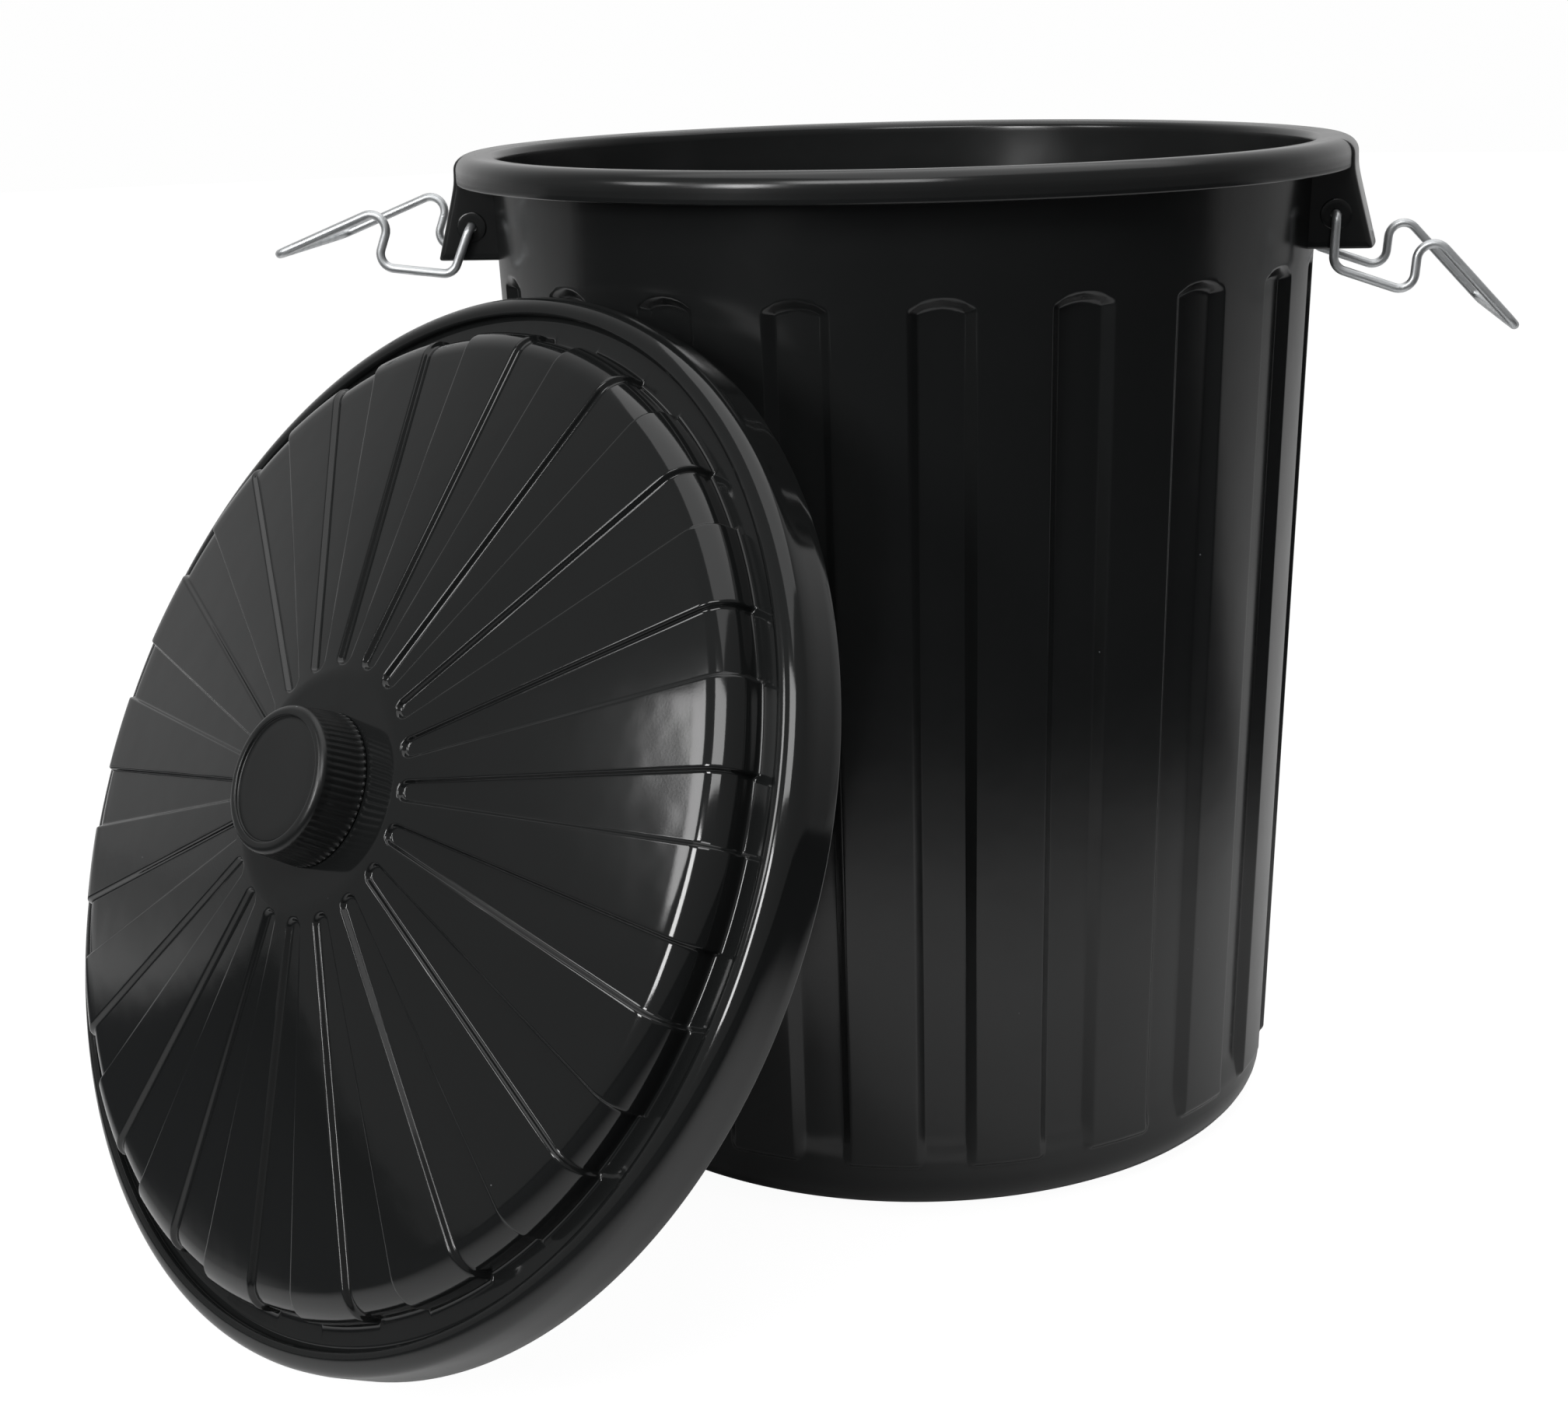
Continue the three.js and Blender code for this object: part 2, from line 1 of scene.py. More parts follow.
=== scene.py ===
"""Dresses a fluted polypropylene bin, its leaning lid and its two zinc-plated wire handles.

Every piece is a surface worked out with numpy on a grid of rows and columns, in metres, in the
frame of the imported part: the origin is the centre of the bin's base and +Z is up.
"""

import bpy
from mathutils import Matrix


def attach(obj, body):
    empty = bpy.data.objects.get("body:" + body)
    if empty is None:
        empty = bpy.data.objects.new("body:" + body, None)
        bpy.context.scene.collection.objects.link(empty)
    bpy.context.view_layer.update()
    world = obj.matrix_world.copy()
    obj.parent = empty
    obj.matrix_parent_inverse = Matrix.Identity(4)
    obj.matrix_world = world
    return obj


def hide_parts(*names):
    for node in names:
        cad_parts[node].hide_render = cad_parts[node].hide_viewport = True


bl_info = {
    "name": "Fluted Bin",
    "version": (1, 0, 0),
    "blender": (4, 5, 0),
    "location": "View3D > Sidebar > Fluted Bin",
    "description": "Makes a fluted bin with a domed lid, a knurled knob and wire clip handles",
    "category": "Add Mesh",
}

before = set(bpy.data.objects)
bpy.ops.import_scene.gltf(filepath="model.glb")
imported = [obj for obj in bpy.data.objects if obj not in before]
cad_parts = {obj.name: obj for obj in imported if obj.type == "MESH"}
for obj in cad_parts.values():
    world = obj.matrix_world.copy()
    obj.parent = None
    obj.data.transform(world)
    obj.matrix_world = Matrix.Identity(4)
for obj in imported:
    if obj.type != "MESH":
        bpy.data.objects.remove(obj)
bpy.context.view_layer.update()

import math

import bpy
import numpy as np
from mathutils import Matrix, Vector

MM = 0.001
FLUTE_COUNT = 20  # on the bin, and on the lid
PITCH = 360 / FLUTE_COUNT  # degrees from one ridge's centre to the next

# ------------------------------------------------------------------------------ colours


def linear(hex_colour):
    """The linear RGBA of an sRGB hex colour: each channel is undone from its sRGB curve."""
    channels = [int(hex_colour[i:i + 2], 16) / 255 for i in (1, 3, 5)]
    return tuple(c / 12.92 if c <= 0.04045 else ((c + 0.055) / 1.055) ** 2.4 for c in channels) + (1,)


# ------------------------------------------------------------------------------ node trees


def add_node(tree, kind, settings=None, **links):
    """Adds a node of that kind, sets its attributes and inputs, and links sockets into its inputs.

    A link's key is the input's name with spaces as underscores, or in and the input's number where
    names repeat, as a Mix node's colours do. Its value is a socket or a plain value.
    """
    node = tree.nodes.new(kind)
    for key, value in (settings or {}).items():
        setattr(node, key, value)
    for key, value in links.items():
        name = key.replace("_", " ")
        socket = node.inputs[int(name[2:])] if name.startswith("in") and name[2:].isdigit() \
            else node.inputs[name]
        if isinstance(value, bpy.types.NodeSocket):
            tree.links.new(value, socket)
        else:
            socket.default_value = value
    return node


def new_material(name):
    """An empty node material with that name, and its output node."""
    material = bpy.data.materials.new(name)
    material.use_nodes = True
    material.node_tree.nodes.clear()
    return material, material.node_tree, material.node_tree.nodes.new("ShaderNodeOutputMaterial")


def object_place(tree):
    """The socket that gives a point's place on the object, in metres."""
    return add_node(tree, "ShaderNodeTexCoord").outputs["Object"]


def noise(tree, place, scale, detail, roughness=0.5):
    """A noise about 0.5, whose lumps are 1 / scale of the place's unit long."""
    return add_node(tree, "ShaderNodeTexNoise", Vector=place, Scale=scale, Detail=detail,
                    Roughness=roughness).outputs["Fac"]


def ramp(tree, value, start, end, low, high, curve="LINEAR"):
    """The value mapped from start and end to low and high, and held level past both."""
    return add_node(tree, "ShaderNodeMapRange", {"interpolation_type": curve}, Value=value,
                    From_Min=start, From_Max=end, To_Min=low, To_Max=high).outputs["Result"]


def worked_out(tree, operation, first, second):
    """The result of a Math node's operation on two values."""
    return add_node(tree, "ShaderNodeMath", {"operation": operation}, in0=first,
                    in1=second).outputs["Value"]


def bumped(tree, height, strength, distance, invert=False, **under):
    """A normal tilted by a height; Normal= names the normal that it starts from."""
    return add_node(tree, "ShaderNodeBump", {"invert": invert}, Height=height, Strength=strength,
                    Distance=distance, **under).outputs["Normal"]


def tinted(tree, share, first, second):
    """A colour that goes from the first hex colour to the second by share."""
    return add_node(tree, "ShaderNodeMix", {"data_type": "RGBA"}, Factor=share, in6=linear(first),
                    in7=linear(second)).outputs[2]


def seen_apart(tree, seen, otherwise):
    """A shader that looks one way to the camera, and another way in mirrors and as light."""
    path = add_node(tree, "ShaderNodeLightPath")
    return add_node(tree, "ShaderNodeMixShader", in0=path.outputs["Is Camera Ray"], in1=otherwise,
                    in2=seen).outputs[0]


def moulded_polypropylene(name, hex_colour, roughness, grain):
    """Polypropylene, injection moulded against a polished steel tool and filled with carbon black.

    It is near black and glossy. Its skin is slightly wavy where it shrank over the tool, a few
    centimetres from crest to crest, and it carries dust specks and a haze of fine rub marks.
    """
    material, tree, output = new_material(name)
    place = object_place(tree)
    # shrink waves about 40 mm long, then moulding grain of about 1.2 mm
    waves = bumped(tree, noise(tree, place, 26.0, 2.0, 0.45), strength=0.35, distance=0.0006)
    skin = bumped(tree, noise(tree, place, 820.0, 2.0), strength=grain, distance=0.00002, Normal=waves)
    # rub marks gather in patches about 80 mm across
    rubbed = ramp(tree, noise(tree, place, 12.0, 5.0, 0.6), 0.35, 0.75, roughness * 0.88,
                  roughness * 1.25)
    # dust specks under 0.8 mm across, about 25 of them on a square metre
    cells = add_node(tree, "ShaderNodeTexVoronoi", Vector=place, Scale=42.0, Randomness=1.0)
    speck = ramp(tree, cells.outputs["Distance"], 0.016, 0.010, 0.0, 1.0)
    chosen = add_node(tree, "ShaderNodeSeparateColor", Color=cells.outputs["Color"])
    few = worked_out(tree, "GREATER_THAN", chosen.outputs["Red"], 0.55)
    tint = tinted(tree, worked_out(tree, "MULTIPLY", speck, few), hex_colour, "#8d8f92")
    shader = add_node(tree, "ShaderNodeBsdfPrincipled", Base_Color=tint, Roughness=rubbed, Normal=skin,
                      IOR=1.49)
    tree.links.new(shader.outputs["BSDF"], output.inputs["Surface"])
    return material


def zinc_plated_wire(name, hex_colour, roughness):
    """Mild steel wire, cold drawn, bent on a jig and barrel plated with bright zinc.

    Drawing leaves faint lines along the wire, and plating leaves cloudy patches and small pits.
    """
    material, tree, output = new_material(name)
    place = object_place(tree)
    along = add_node(tree, "ShaderNodeAttribute", {"attribute_name": "wire_run"}).outputs["Vector"]
    # drawing lines about 0.25 mm apart round the wire, and about 55 mm long
    lines = bumped(tree, noise(tree, along, 1.0, 2.0), strength=0.05, distance=0.00003)
    # small nicks where the plating chipped: the highest spots of a noise of about 4 mm
    nicks = ramp(tree, noise(tree, place, 240.0, 1.0), 0.70, 0.76, 0.0, 1.0)
    pitted = bumped(tree, nicks, strength=0.5, distance=0.00015, invert=True, Normal=lines)
    # cloudy patches about 11 mm across
    clouds = noise(tree, place, 90.0, 3.0, 0.6)
    dulled = ramp(tree, clouds, 0.3, 0.7, roughness * 0.8, roughness * 1.35)
    shader = add_node(tree, "ShaderNodeBsdfPrincipled", Metallic=0.9, Roughness=dulled, Normal=pitted,
                      Base_Color=tinted(tree, clouds, hex_colour, "#c3c6c8"))
    tree.links.new(shader.outputs["BSDF"], output.inputs["Surface"])
    return material


def studio_paper(name, hex_colour, pool):
    """Matt seamless studio paper, overexposed in the picture as under a cut-out.

    The object mirrors the paper with a painted pool of light: its colour is pale round the object
    and behind it, and fades to dark grey in front, where the light's falloff is painted in.
    """
    material, tree, output = new_material(name)
    place = object_place(tree)
    fibre = bumped(tree, noise(tree, place, 300.0, 3.0), strength=0.02, distance=0.0002)
    # painted pool of light: the paper's colour is pale near the object and behind it, and dark grey far
    # out in front, as painted light falloff
    away = add_node(tree, "ShaderNodeVectorMath", {"operation": "LENGTH"}, in0=place).outputs["Value"]
    outside_painted_pool = ramp(tree, away, pool * 0.55, pool, 0.0, 1.0, "SMOOTHSTEP")
    depth = add_node(tree, "ShaderNodeSeparateXYZ", Vector=place).outputs["Y"]
    front = ramp(tree, depth, 0.1, 0.4, 1.0, 0.0, "SMOOTHSTEP")
    tint = tinted(tree, worked_out(tree, "MULTIPLY", outside_painted_pool, front), hex_colour, "#3c3d3f")
    lit = add_node(tree, "ShaderNodeBsdfDiffuse", Color=tint, Normal=fibre)
    shade = add_node(tree, "ShaderNodeBsdfDiffuse", Color=linear("#6a6a6a"))
    white = add_node(tree, "ShaderNodeEmission", Color=(1, 1, 1, 1), Strength=0.96)
    seen = add_node(tree, "ShaderNodeAddShader", in0=white.outputs[0], in1=shade.outputs[0])
    tree.links.new(seen_apart(tree, seen.outputs[0], lit.outputs[0]), output.inputs["Surface"])
    return material


# ------------------------------------------------------------------------------ grids


def line(start, end, steps):
    """Points along a straight run, in even steps, without its last point."""
    t = np.arange(steps)[:, None] / steps
    return np.asarray(start) + t * (np.asarray(end) - np.asarray(start))


def arc(centre, radius, start, end, steps):
    """Points along a circular arc in the plane of radius and height, angles in degrees, both ends in."""
    angle = np.radians(np.linspace(start, end, steps + 1))
    return np.asarray(centre) + radius * np.stack([np.cos(angle), np.sin(angle)], axis=1)


def grid_faces(rows, columns, wrap_rows, wrap_columns):
    """Quads of a grid of points, as an array of four indices each, with either way closed on itself."""
    row = np.arange(rows if wrap_rows else rows - 1)
    column = np.arange(columns if wrap_columns else columns - 1)
    r, c = np.meshgrid(row, column, indexing="ij")
    r2, c2 = (r + 1) % rows, (c + 1) % columns
    corners = [r * columns + c, r * columns + c2, r2 * columns + c2, r2 * columns + c]
    return np.stack(corners, axis=-1).reshape(-1, 4)


def solid_mesh(name, points, quads, caps=(), attribute=None):
    """A mesh from vertices, quads and many-sided caps, with its faces turned outwards.

    The sign of the volume that the quads enclose says which way they point, and the caps turn with
    them. attribute is the place along and round a wire, for its drawing lines.
    """
    volume = 0.0
    for a, b, c in ((0, 1, 2), (0, 2, 3)):
        pa, pb, pc = points[quads[:, a]], points[quads[:, b]], points[quads[:, c]]
        volume += float(np.einsum("ij,ij->i", pa, np.cross(pb, pc)).sum())
    faces = quads if volume > 0 else quads[:, ::-1]
    faces = faces.tolist()
    faces += [list(cap) if volume > 0 else list(cap)[::-1] for cap in caps]
    mesh = bpy.data.meshes.new(name)
    mesh.from_pydata(points.tolist(), [], faces)
    if attribute is not None:
        layer = mesh.attributes.new("wire_run", "FLOAT_VECTOR", "POINT")
        layer.data.foreach_set("vector", attribute.astype(np.float32).ravel())
    mesh.validate(clean_customdata=False)
    mesh.polygons.foreach_set("use_smooth", np.ones(len(mesh.polygons), bool))
    mesh.update()
    return mesh


def tube_mesh(name, points, rows, attribute=None):
    """A mesh from points in rows round a tube, with a flat cap over either end."""
    columns = len(points) // rows
    ends = [list(range(columns))[::-1], [(rows - 1) * columns + i for i in range(columns)]]
    return solid_mesh(name, points, grid_faces(rows, columns, False, True), ends, attribute)


def place_piece(name, mesh, material, body, slot, *nodes):
    """Puts a mesh in the scene as a piece that rides on a body and stands for the CAD nodes."""
    mesh.materials.clear()
    mesh.materials.append(material)
    piece = bpy.data.objects.new(name, mesh)
    bpy.context.scene.collection.objects.link(piece)
    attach(piece, body)
    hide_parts(*nodes)


def smooth_step(distance, half_width):
    """0 where distance is below minus half_width, 1 above plus half_width, and an S curve between."""
    t = np.clip(0.5 + 0.5 * distance / half_width, 0, 1)
    return t * t * (3 - 2 * t)


def flat_step(distance, half_width, blend):
    """0 below minus half_width, 1 above plus half_width, straight between, with short blends at both."""
    knee = lambda u: np.where(u > blend, u, np.clip(u + blend, 0, None) ** 2 / (4 * blend))
    return (knee(distance + half_width) - knee(distance - half_width)) / (2 * half_width)


def inside_rounded(x, y, corner):
    """How far a point lies inside a quarter plane with a rounded corner; x and y are the distances in."""
    reach = np.maximum(corner - x, 0), np.maximum(corner - y, 0)
    return corner - np.hypot(*reach) - np.minimum(0, np.maximum(corner - x, corner - y))


def flute_columns(half_pitch):
    """Column angles for one flute, in degrees from its ridge's centre, mirrored about its recess's."""
    half = np.asarray(half_pitch)
    return np.concatenate([half, 2 * half[-1] - half[-2:0:-1]])


def all_columns(half_pitch):
    """The column angles right round, in degrees."""
    return (np.arange(FLUTE_COUNT)[:, None] * PITCH + flute_columns(half_pitch)[None, :]).ravel()


def from_ridge(degrees):
    """How far each column lies from the nearest ridge's centre, in degrees, as one row."""
    return np.abs((degrees + PITCH / 2) % PITCH - PITCH / 2)[None, :]


def spread(values, columns):
    """One value for each row, repeated for every column of a grid."""
    return np.repeat(values[:, None], columns, axis=1)


def revolved(rows, degrees):
    """Points of a revolved surface: each row is an array of radius and height for every column."""
    angle = np.radians(degrees)[None, :]
    radius, height = rows
    return np.stack([radius * np.cos(angle), radius * np.sin(angle), height], axis=-1)


# ------------------------------------------------------------------------------ the bin

BIN_WALL_CENTRE = 5.4  # degrees from the ridge's centre to the middle of the step beside it
# column angles over half a pitch, in degrees, close together over that step
BIN_HALF_PITCH = (0, 2.6, 4.2, 4.53, 4.64, 4.73, 4.82, 4.98, 5.4, 5.82, 5.98, 6.07, 6.16, 6.28,
                  6.8, 7.9, 9)
# in millimetres
BIN_WALL_HALF = 2.65  # half the run of that step along the wall
FOOT_WALL_HALF = 1.6  # the same at a ridge's foot
FOOT_WALL_GROWTH = 0.2  # by which it grows for each millimetre up
FOOT_WALL_HEIGHT = 6  # over which it grows
STEP_BLEND = 0.6  # rounding at the step's two edges
ARCH_SHOULDER = 0.8  # rounding at the two ends of a recess's arch
RIDGE_FOOT_CORNER = 3.0  # rounding of a ridge's foot


def draft(size):
    """How much the ridges' cone widens with height."""
    return (size.mouth_radius - size.foot_radius) / size.height


def cone_radius(size, height):
    """The radius of the ridges' cone at a height, both in millimetres."""
    return size.foot_radius / MM + draft(size) * height


def bin_profile(size, inset):
    """Outline rows of one skin of the bin from the floor's edge up to just under the rim.

    Each row is a radius at the ridges, and a height. inset moves the skin inwards by the wall. The
    rows lie close together at the ridges' feet and over the arches, and fewer serve the inner skin.
    """
    foot, top = size.foot_height / MM, size.flute_top / MM
    floor_z = 0 if inset == 0 else size.base_thickness / MM
    corner = size.base_corner / MM - inset
    ridge = lambda z: cone_radius(size, z) - inset
    band = ridge(foot) - size.base_step / MM
    base_steps, foot_rows, arch_rows = (10, 9, 28) if inset == 0 else (5, 5, 12)
    base = arc((band - corner, floor_z + corner), corner, -90, 0, base_steps)
    heights = np.concatenate([
        [base[-1, 1] + 0.8], np.linspace(foot - 3, foot + 4, foot_rows),
        [foot + 7, foot + 10, foot + 14, foot + 18, foot + 60, 200, 340, top - 22],
        np.linspace(top - 14, top + 5, arch_rows), [top + 8, top + 16],
    ])
    wall = np.stack([ridge(heights), heights], axis=1)
    return base, wall


def bin_recess(degrees, heights, radii, size):
    """How deep each grid point lies in a recess, from 0 on a ridge to 1 on a recess's floor.

    The distance into a recess is measured along the wall from the step beside it. The recess's top
    is a flat arch with rounded shoulders, the ridge's foot has small rounded corners, and below the
    ridges' feet everything is recess.
    """
    across = np.radians(from_ridge(degrees) - BIN_WALL_CENTRE) * radii[:, None] / MM
    z = heights[:, None] / MM
    top, foot = size.flute_top / MM, size.foot_height / MM
    half = np.radians(PITCH / 2 - BIN_WALL_CENTRE) * radii[:, None] / MM
    from_middle = half - across
    crown = top - size.arch_rise / MM * np.clip(from_middle / half, 0, 1) ** 2
    upper = inside_rounded(across, crown - z, ARCH_SHOULDER)
    lower = -inside_rounded(-across, z - foot, RIDGE_FOOT_CORNER)
    inside = np.where(z > (top + foot) / 2, upper, lower)
    at_foot = FOOT_WALL_HALF + FOOT_WALL_GROWTH * np.clip(z - foot, 0, FOOT_WALL_HEIGHT)
    width = np.where(z < foot + FOOT_WALL_HEIGHT, at_foot, BIN_WALL_HALF)
    return flat_step(inside, width, STEP_BLEND)


def bin_skin(size, degrees, inset):
    """Radius and height arrays of one skin: the ridge cone less the flute's depth in the recesses.

    The recesses' floors come out smoothly to the plain band that runs round below the ridges.
    """
    base, wall = bin_profile(size, inset)
    band = base[-1, 0] * MM
    above = wall[:, 1:] * MM - size.foot_height
    blend = smooth_step(above - size.floor_blend / 2, size.floor_blend / 2)
    depth = size.base_step + (size.flute_depth - size.base_step) * blend
    depth = np.where(above < 0, wall[:, :1] * MM - band, depth)
    recess = bin_recess(degrees, wall[:, 1] * MM, wall[:, 0] * MM, size)
    radius = wall[:, :1] * MM - depth * recess
    height = np.concatenate([base[:, 1], wall[:, 1]]) * MM
    return np.vstack([spread(base[:, 0] * MM, degrees.size), radius]), spread(height, degrees.size)


def rim_profile(size):
    """The rolled rim's outline in millimetres: up the wall, round under the lip, over and back in."""
    top, outer, lip = size.height / MM, size.rim_radius / MM, size.rim_lip / MM
    low = top - size.rim_depth / MM
    join, fillet = low - 12, 2
    wall = lambda z: cone_radius(size, z)
    hollow = top - lip
    inner = wall(top) - size.wall / MM
    bend, corner, fall = size.rim_bend / MM, size.rim_inner_corner / MM, size.rim_fall / MM
    crown_r, edge_r = outer - bend - 0.4, inner + corner + 1.2
    share = np.linspace(0.08, 0.92, 4)
    return np.vstack([
        line((wall(join), join), (wall(hollow - fillet), hollow - fillet), 2),
        arc((wall(hollow) + fillet, hollow - fillet), fillet, 180, 90, 3),
        arc((outer - lip - fillet, hollow - fillet), fillet, 90, 0, 3),
        line((outer - lip, hollow - 6), (outer - lip, low + 1.5), 2),
        arc((outer - lip / 2, low + lip / 2), lip / 2, 180, 360, 6),
        line((outer, low + 3), (outer, top - bend - 0.5), 2),
        arc((outer - bend, top - bend), bend, 0, 88, 12),
        np.column_stack([crown_r + share * (edge_r - crown_r), top - fall * share ** 2]),
        arc((inner + corner, top - fall - corner), corner, 74, 180, 7),
        line((inner - 0.02, top - fall - corner - 2), (inner - draft(size) * 20, top - 26), 3),
        [(wall(join) - size.wall / MM, join)],
    ])


def bin_shell(size):
    """The bin's moulding as one closed surface: underside, outer skin, rim, inner skin and floor."""
    degrees = all_columns(BIN_HALF_PITCH)
    columns = degrees.size
    outer_radius, outer_height = bin_skin(size, degrees, 0)
    inner_radius, inner_height = bin_skin(size, degrees, size.wall / MM)
    rim = rim_profile(size) * MM
    under = np.linspace(0, outer_radius[0, 0], 5)[1:-1]
    floor = np.linspace(inner_radius[0, 0], 0, 5)[1:-1]
    flat = lambda values: spread(values, columns)
    radius = np.vstack([flat(under), outer_radius, flat(rim[:, 0]), inner_radius[::-1], flat(floor)])
    height = np.vstack([
        flat(np.zeros(under.size)), outer_height, flat(rim[:, 1]), inner_height[::-1],
        flat(np.full(floor.size, size.base_thickness)),
    ])
    points = revolved((radius, height), degrees).reshape(-1, 3)
    rows = radius.shape[0]
    quads = grid_faces(rows, columns, False, True)
    last = points.shape[0]
    points = np.vstack([points, [(0, 0, 0)], [(0, 0, size.base_thickness)]])
    ring = np.arange(columns)
    near = np.stack([np.full(columns, last), (ring + 1) % columns, ring], axis=1)
    offset = (rows - 1) * columns
    far = np.stack([np.full(columns, last + 1), offset + ring, offset + (ring + 1) % columns], axis=1)
    return solid_mesh("bin_shell", points, quads, near.tolist() + far.tolist())


FLARE_SOFTNESS = 0.008  # rounding where the flare starts, as the square of a share of its height
# in millimetres
EAR_CORNER = 3.5
EAR_INNER_CORNER = 0.8
EAR_ROOT = 1.5  # how far the cheeks run into the wall
EAR_CROWN_START = 9  # how much further out they start where the ear runs into the rim's crown


def ear_section(height, depth, size):
    """The bracket ear's plan at one height, as points from one end on the wall round to the other.

    depth is how far inside its outer face the points lie. The two cheeks are straight, the skin is
    an arc about the bin's axis, and the corners between them are rounded. The skin flares out below
    the rim, stands a little proud of it, and runs over the rim's corner into its crown.
    """
    half = size.ear_width / MM / 2 - depth
    low = (size.height - size.rim_depth - size.ear_drop) / MM
    lip = (size.height - size.rim_depth) / MM
    rim, stand, bend = size.rim_radius / MM, size.ear_stand / MM, size.rim_bend / MM
    below = (lip - height) / (lip - low)
    below = min(0.5 * (below + math.sqrt(below * below + FLARE_SOFTNESS)), 1.0)
    skin = rim + stand + (size.ear_flare / MM - stand) * below - depth
    over = np.clip((height - size.height / MM + bend) / bend, 0, 1)
    skin -= (bend + stand) * (1 - math.sqrt(1 - over * over))
    wall = cone_radius(size, height) - EAR_ROOT + EAR_CROWN_START * over
    corner = max(EAR_CORNER - depth, EAR_INNER_CORNER)
    start = math.sqrt(wall ** 2 - half ** 2)
    # the corner's centre stays one radius inside both the cheek and the skin
    centre_y = half - corner
    centre_x = math.sqrt((skin - corner) ** 2 - centre_y ** 2)
    lean = math.degrees(math.atan2(centre_y, centre_x))
    cheek = line((start, half), (centre_x, half), 9)
    turn = arc((centre_x, centre_y), corner, 90, lean, 7)
    skin_angle = np.radians(np.linspace(lean, -lean, 25)[1:-1])
    front = skin * np.stack([np.cos(skin_angle), np.sin(skin_angle)], axis=1)
    return np.vstack([cheek, turn, front, turn[::-1] * (1, -1), cheek[::-1] * (1, -1)])


def ear_shell(size, side):
    """One bracket ear: its plan is carried up the outside, round the lower edge and up the inside."""
    low = (size.height - size.rim_depth - size.ear_drop) / MM
    top, bend = size.height / MM, size.rim_bend / MM
    wall = size.ear_wall / MM
    edge = arc((wall / 2, low + wall / 2), wall / 2, 180, 360, 8)
    over = top - bend * (1 - np.sin(np.radians((84, 74, 63, 52, 41, 30, 20, 10))))
    outside = line((0, top - bend), (0, low + wall / 2), 18)
    inside = line((wall, low + wall / 2), (wall, top - bend - 1), 9)
    loop = np.vstack([np.column_stack([0 * over, over]), outside, edge, inside[1:],
                      [(wall, top - bend - 1)]])
    plans = np.stack([ear_section(z, depth, size) for depth, z in loop])
    heights = np.broadcast_to(loop[:, 1, None, None], plans.shape[:2] + (1,))
    points = np.concatenate([plans, heights], axis=2) * MM
    rows, columns = points.shape[:2]
    points = points * (side, side, 1)
    quads = grid_faces(rows, columns, True, False)
    first = (np.arange(rows) * columns).tolist()
    last = (np.arange(rows) * columns + columns - 1).tolist()
    return solid_mesh("ear", points.reshape(-1, 3), quads, [first, last[::-1]])


def turned_disc(outline, centre, side, segments):
    """A turned disc whose axis lies along Y: each outline point is a radius and a distance along Y."""
    outline = np.asarray(outline)
    angle = np.linspace(0, 2 * np.pi, segments, endpoint=False)[None, :]
    x = centre[0] + outline[:, :1] * np.cos(angle)
    z = centre[2] + outline[:, :1] * np.sin(angle)
    y = spread(centre[1] + side * outline[:, 1], segments)
    return tube_mesh("disc", np.stack([x, y, z], axis=-1).reshape(-1, 3), len(outline))


def carve(mesh, tool, operation):
    """The mesh after the tool mesh is joined to it or cut from it, worked out exactly."""
    target = bpy.data.objects.new("target", mesh)
    other = bpy.data.objects.new("tool", tool)
    for item in (target, other):
        bpy.context.scene.collection.objects.link(item)
    step = target.modifiers.new("carve", "BOOLEAN")
    step.operation, step.solver, step.object = operation, "EXACT", other
    made = bpy.data.meshes.new_from_object(target.evaluated_get(bpy.context.evaluated_depsgraph_get()))
    for item in (target, other):
        bpy.data.objects.remove(item)
    return made


BOSS_RADIUS = 0.0083
BOSS_HEIGHT = 0.0008
PIVOT_HOLE_RADIUS = 0.00295
DRILL_REACH = 0.006  # to each side of a cheek's outer face
EAR_SHARP_ANGLE = math.radians(28)


def drilled_ear(size, side):
    """A bracket ear with a round boss on each cheek and the pivot hole through both."""
    mesh = ear_shell(size, side)
    cheek = size.ear_width / 2
    for face in (-1, 1):
        centre = (side * size.pivot_radius, face * cheek, size.height - size.pivot_drop)
        boss = [(BOSS_RADIUS, -0.0016), (BOSS_RADIUS, 0.0003), (0.0081, 0.0006), (0.0078, 0.00075),
                (0.0073, BOSS_HEIGHT), (0.0055, BOSS_HEIGHT)]
        mesh = carve(mesh, turned_disc(boss, centre, face, 48), "UNION")
        hole = [(PIVOT_HOLE_RADIUS, -DRILL_REACH), (PIVOT_HOLE_RADIUS, DRILL_REACH)]
        mesh = carve(mesh, turned_disc(hole, centre, face, 32), "DIFFERENCE")
    mesh.polygons.foreach_set("use_smooth", np.ones(len(mesh.polygons), bool))
    mesh.set_sharp_from_angle(angle=EAR_SHARP_ANGLE)
    return mesh


# ------------------------------------------------------------------------------ the lid

LID_WALL_CENTRE = 5.05  # degrees from a ridge's centre to the middle of the step beside it
# column angles over half a pitch, in degrees, close together over that step
LID_HALF_PITCH = (0, 1.4, 2.8, 3.8, 4.3, 4.58, 4.77, 4.9, 4.98, 5.05, 5.12, 5.2, 5.33, 5.52, 5.8,
                  6.3, 7.1, 8.0, 9)
# in millimetres
LID_WALL_HALF = 0.95  # half the run of that step
LID_FLUTE_START = 62.4  # radius of the recesses' inner ends
LID_END_CORNER = 4.2  # rounding of those ends
LID_BEAD_RADIUS = 8.4
LID_BEAD_RISE = 4  # of the bead's crown above the flange
LID_FILLET = 1.8  # between the dome's wall and the flange
GROOVE_RADIUS = 0.9


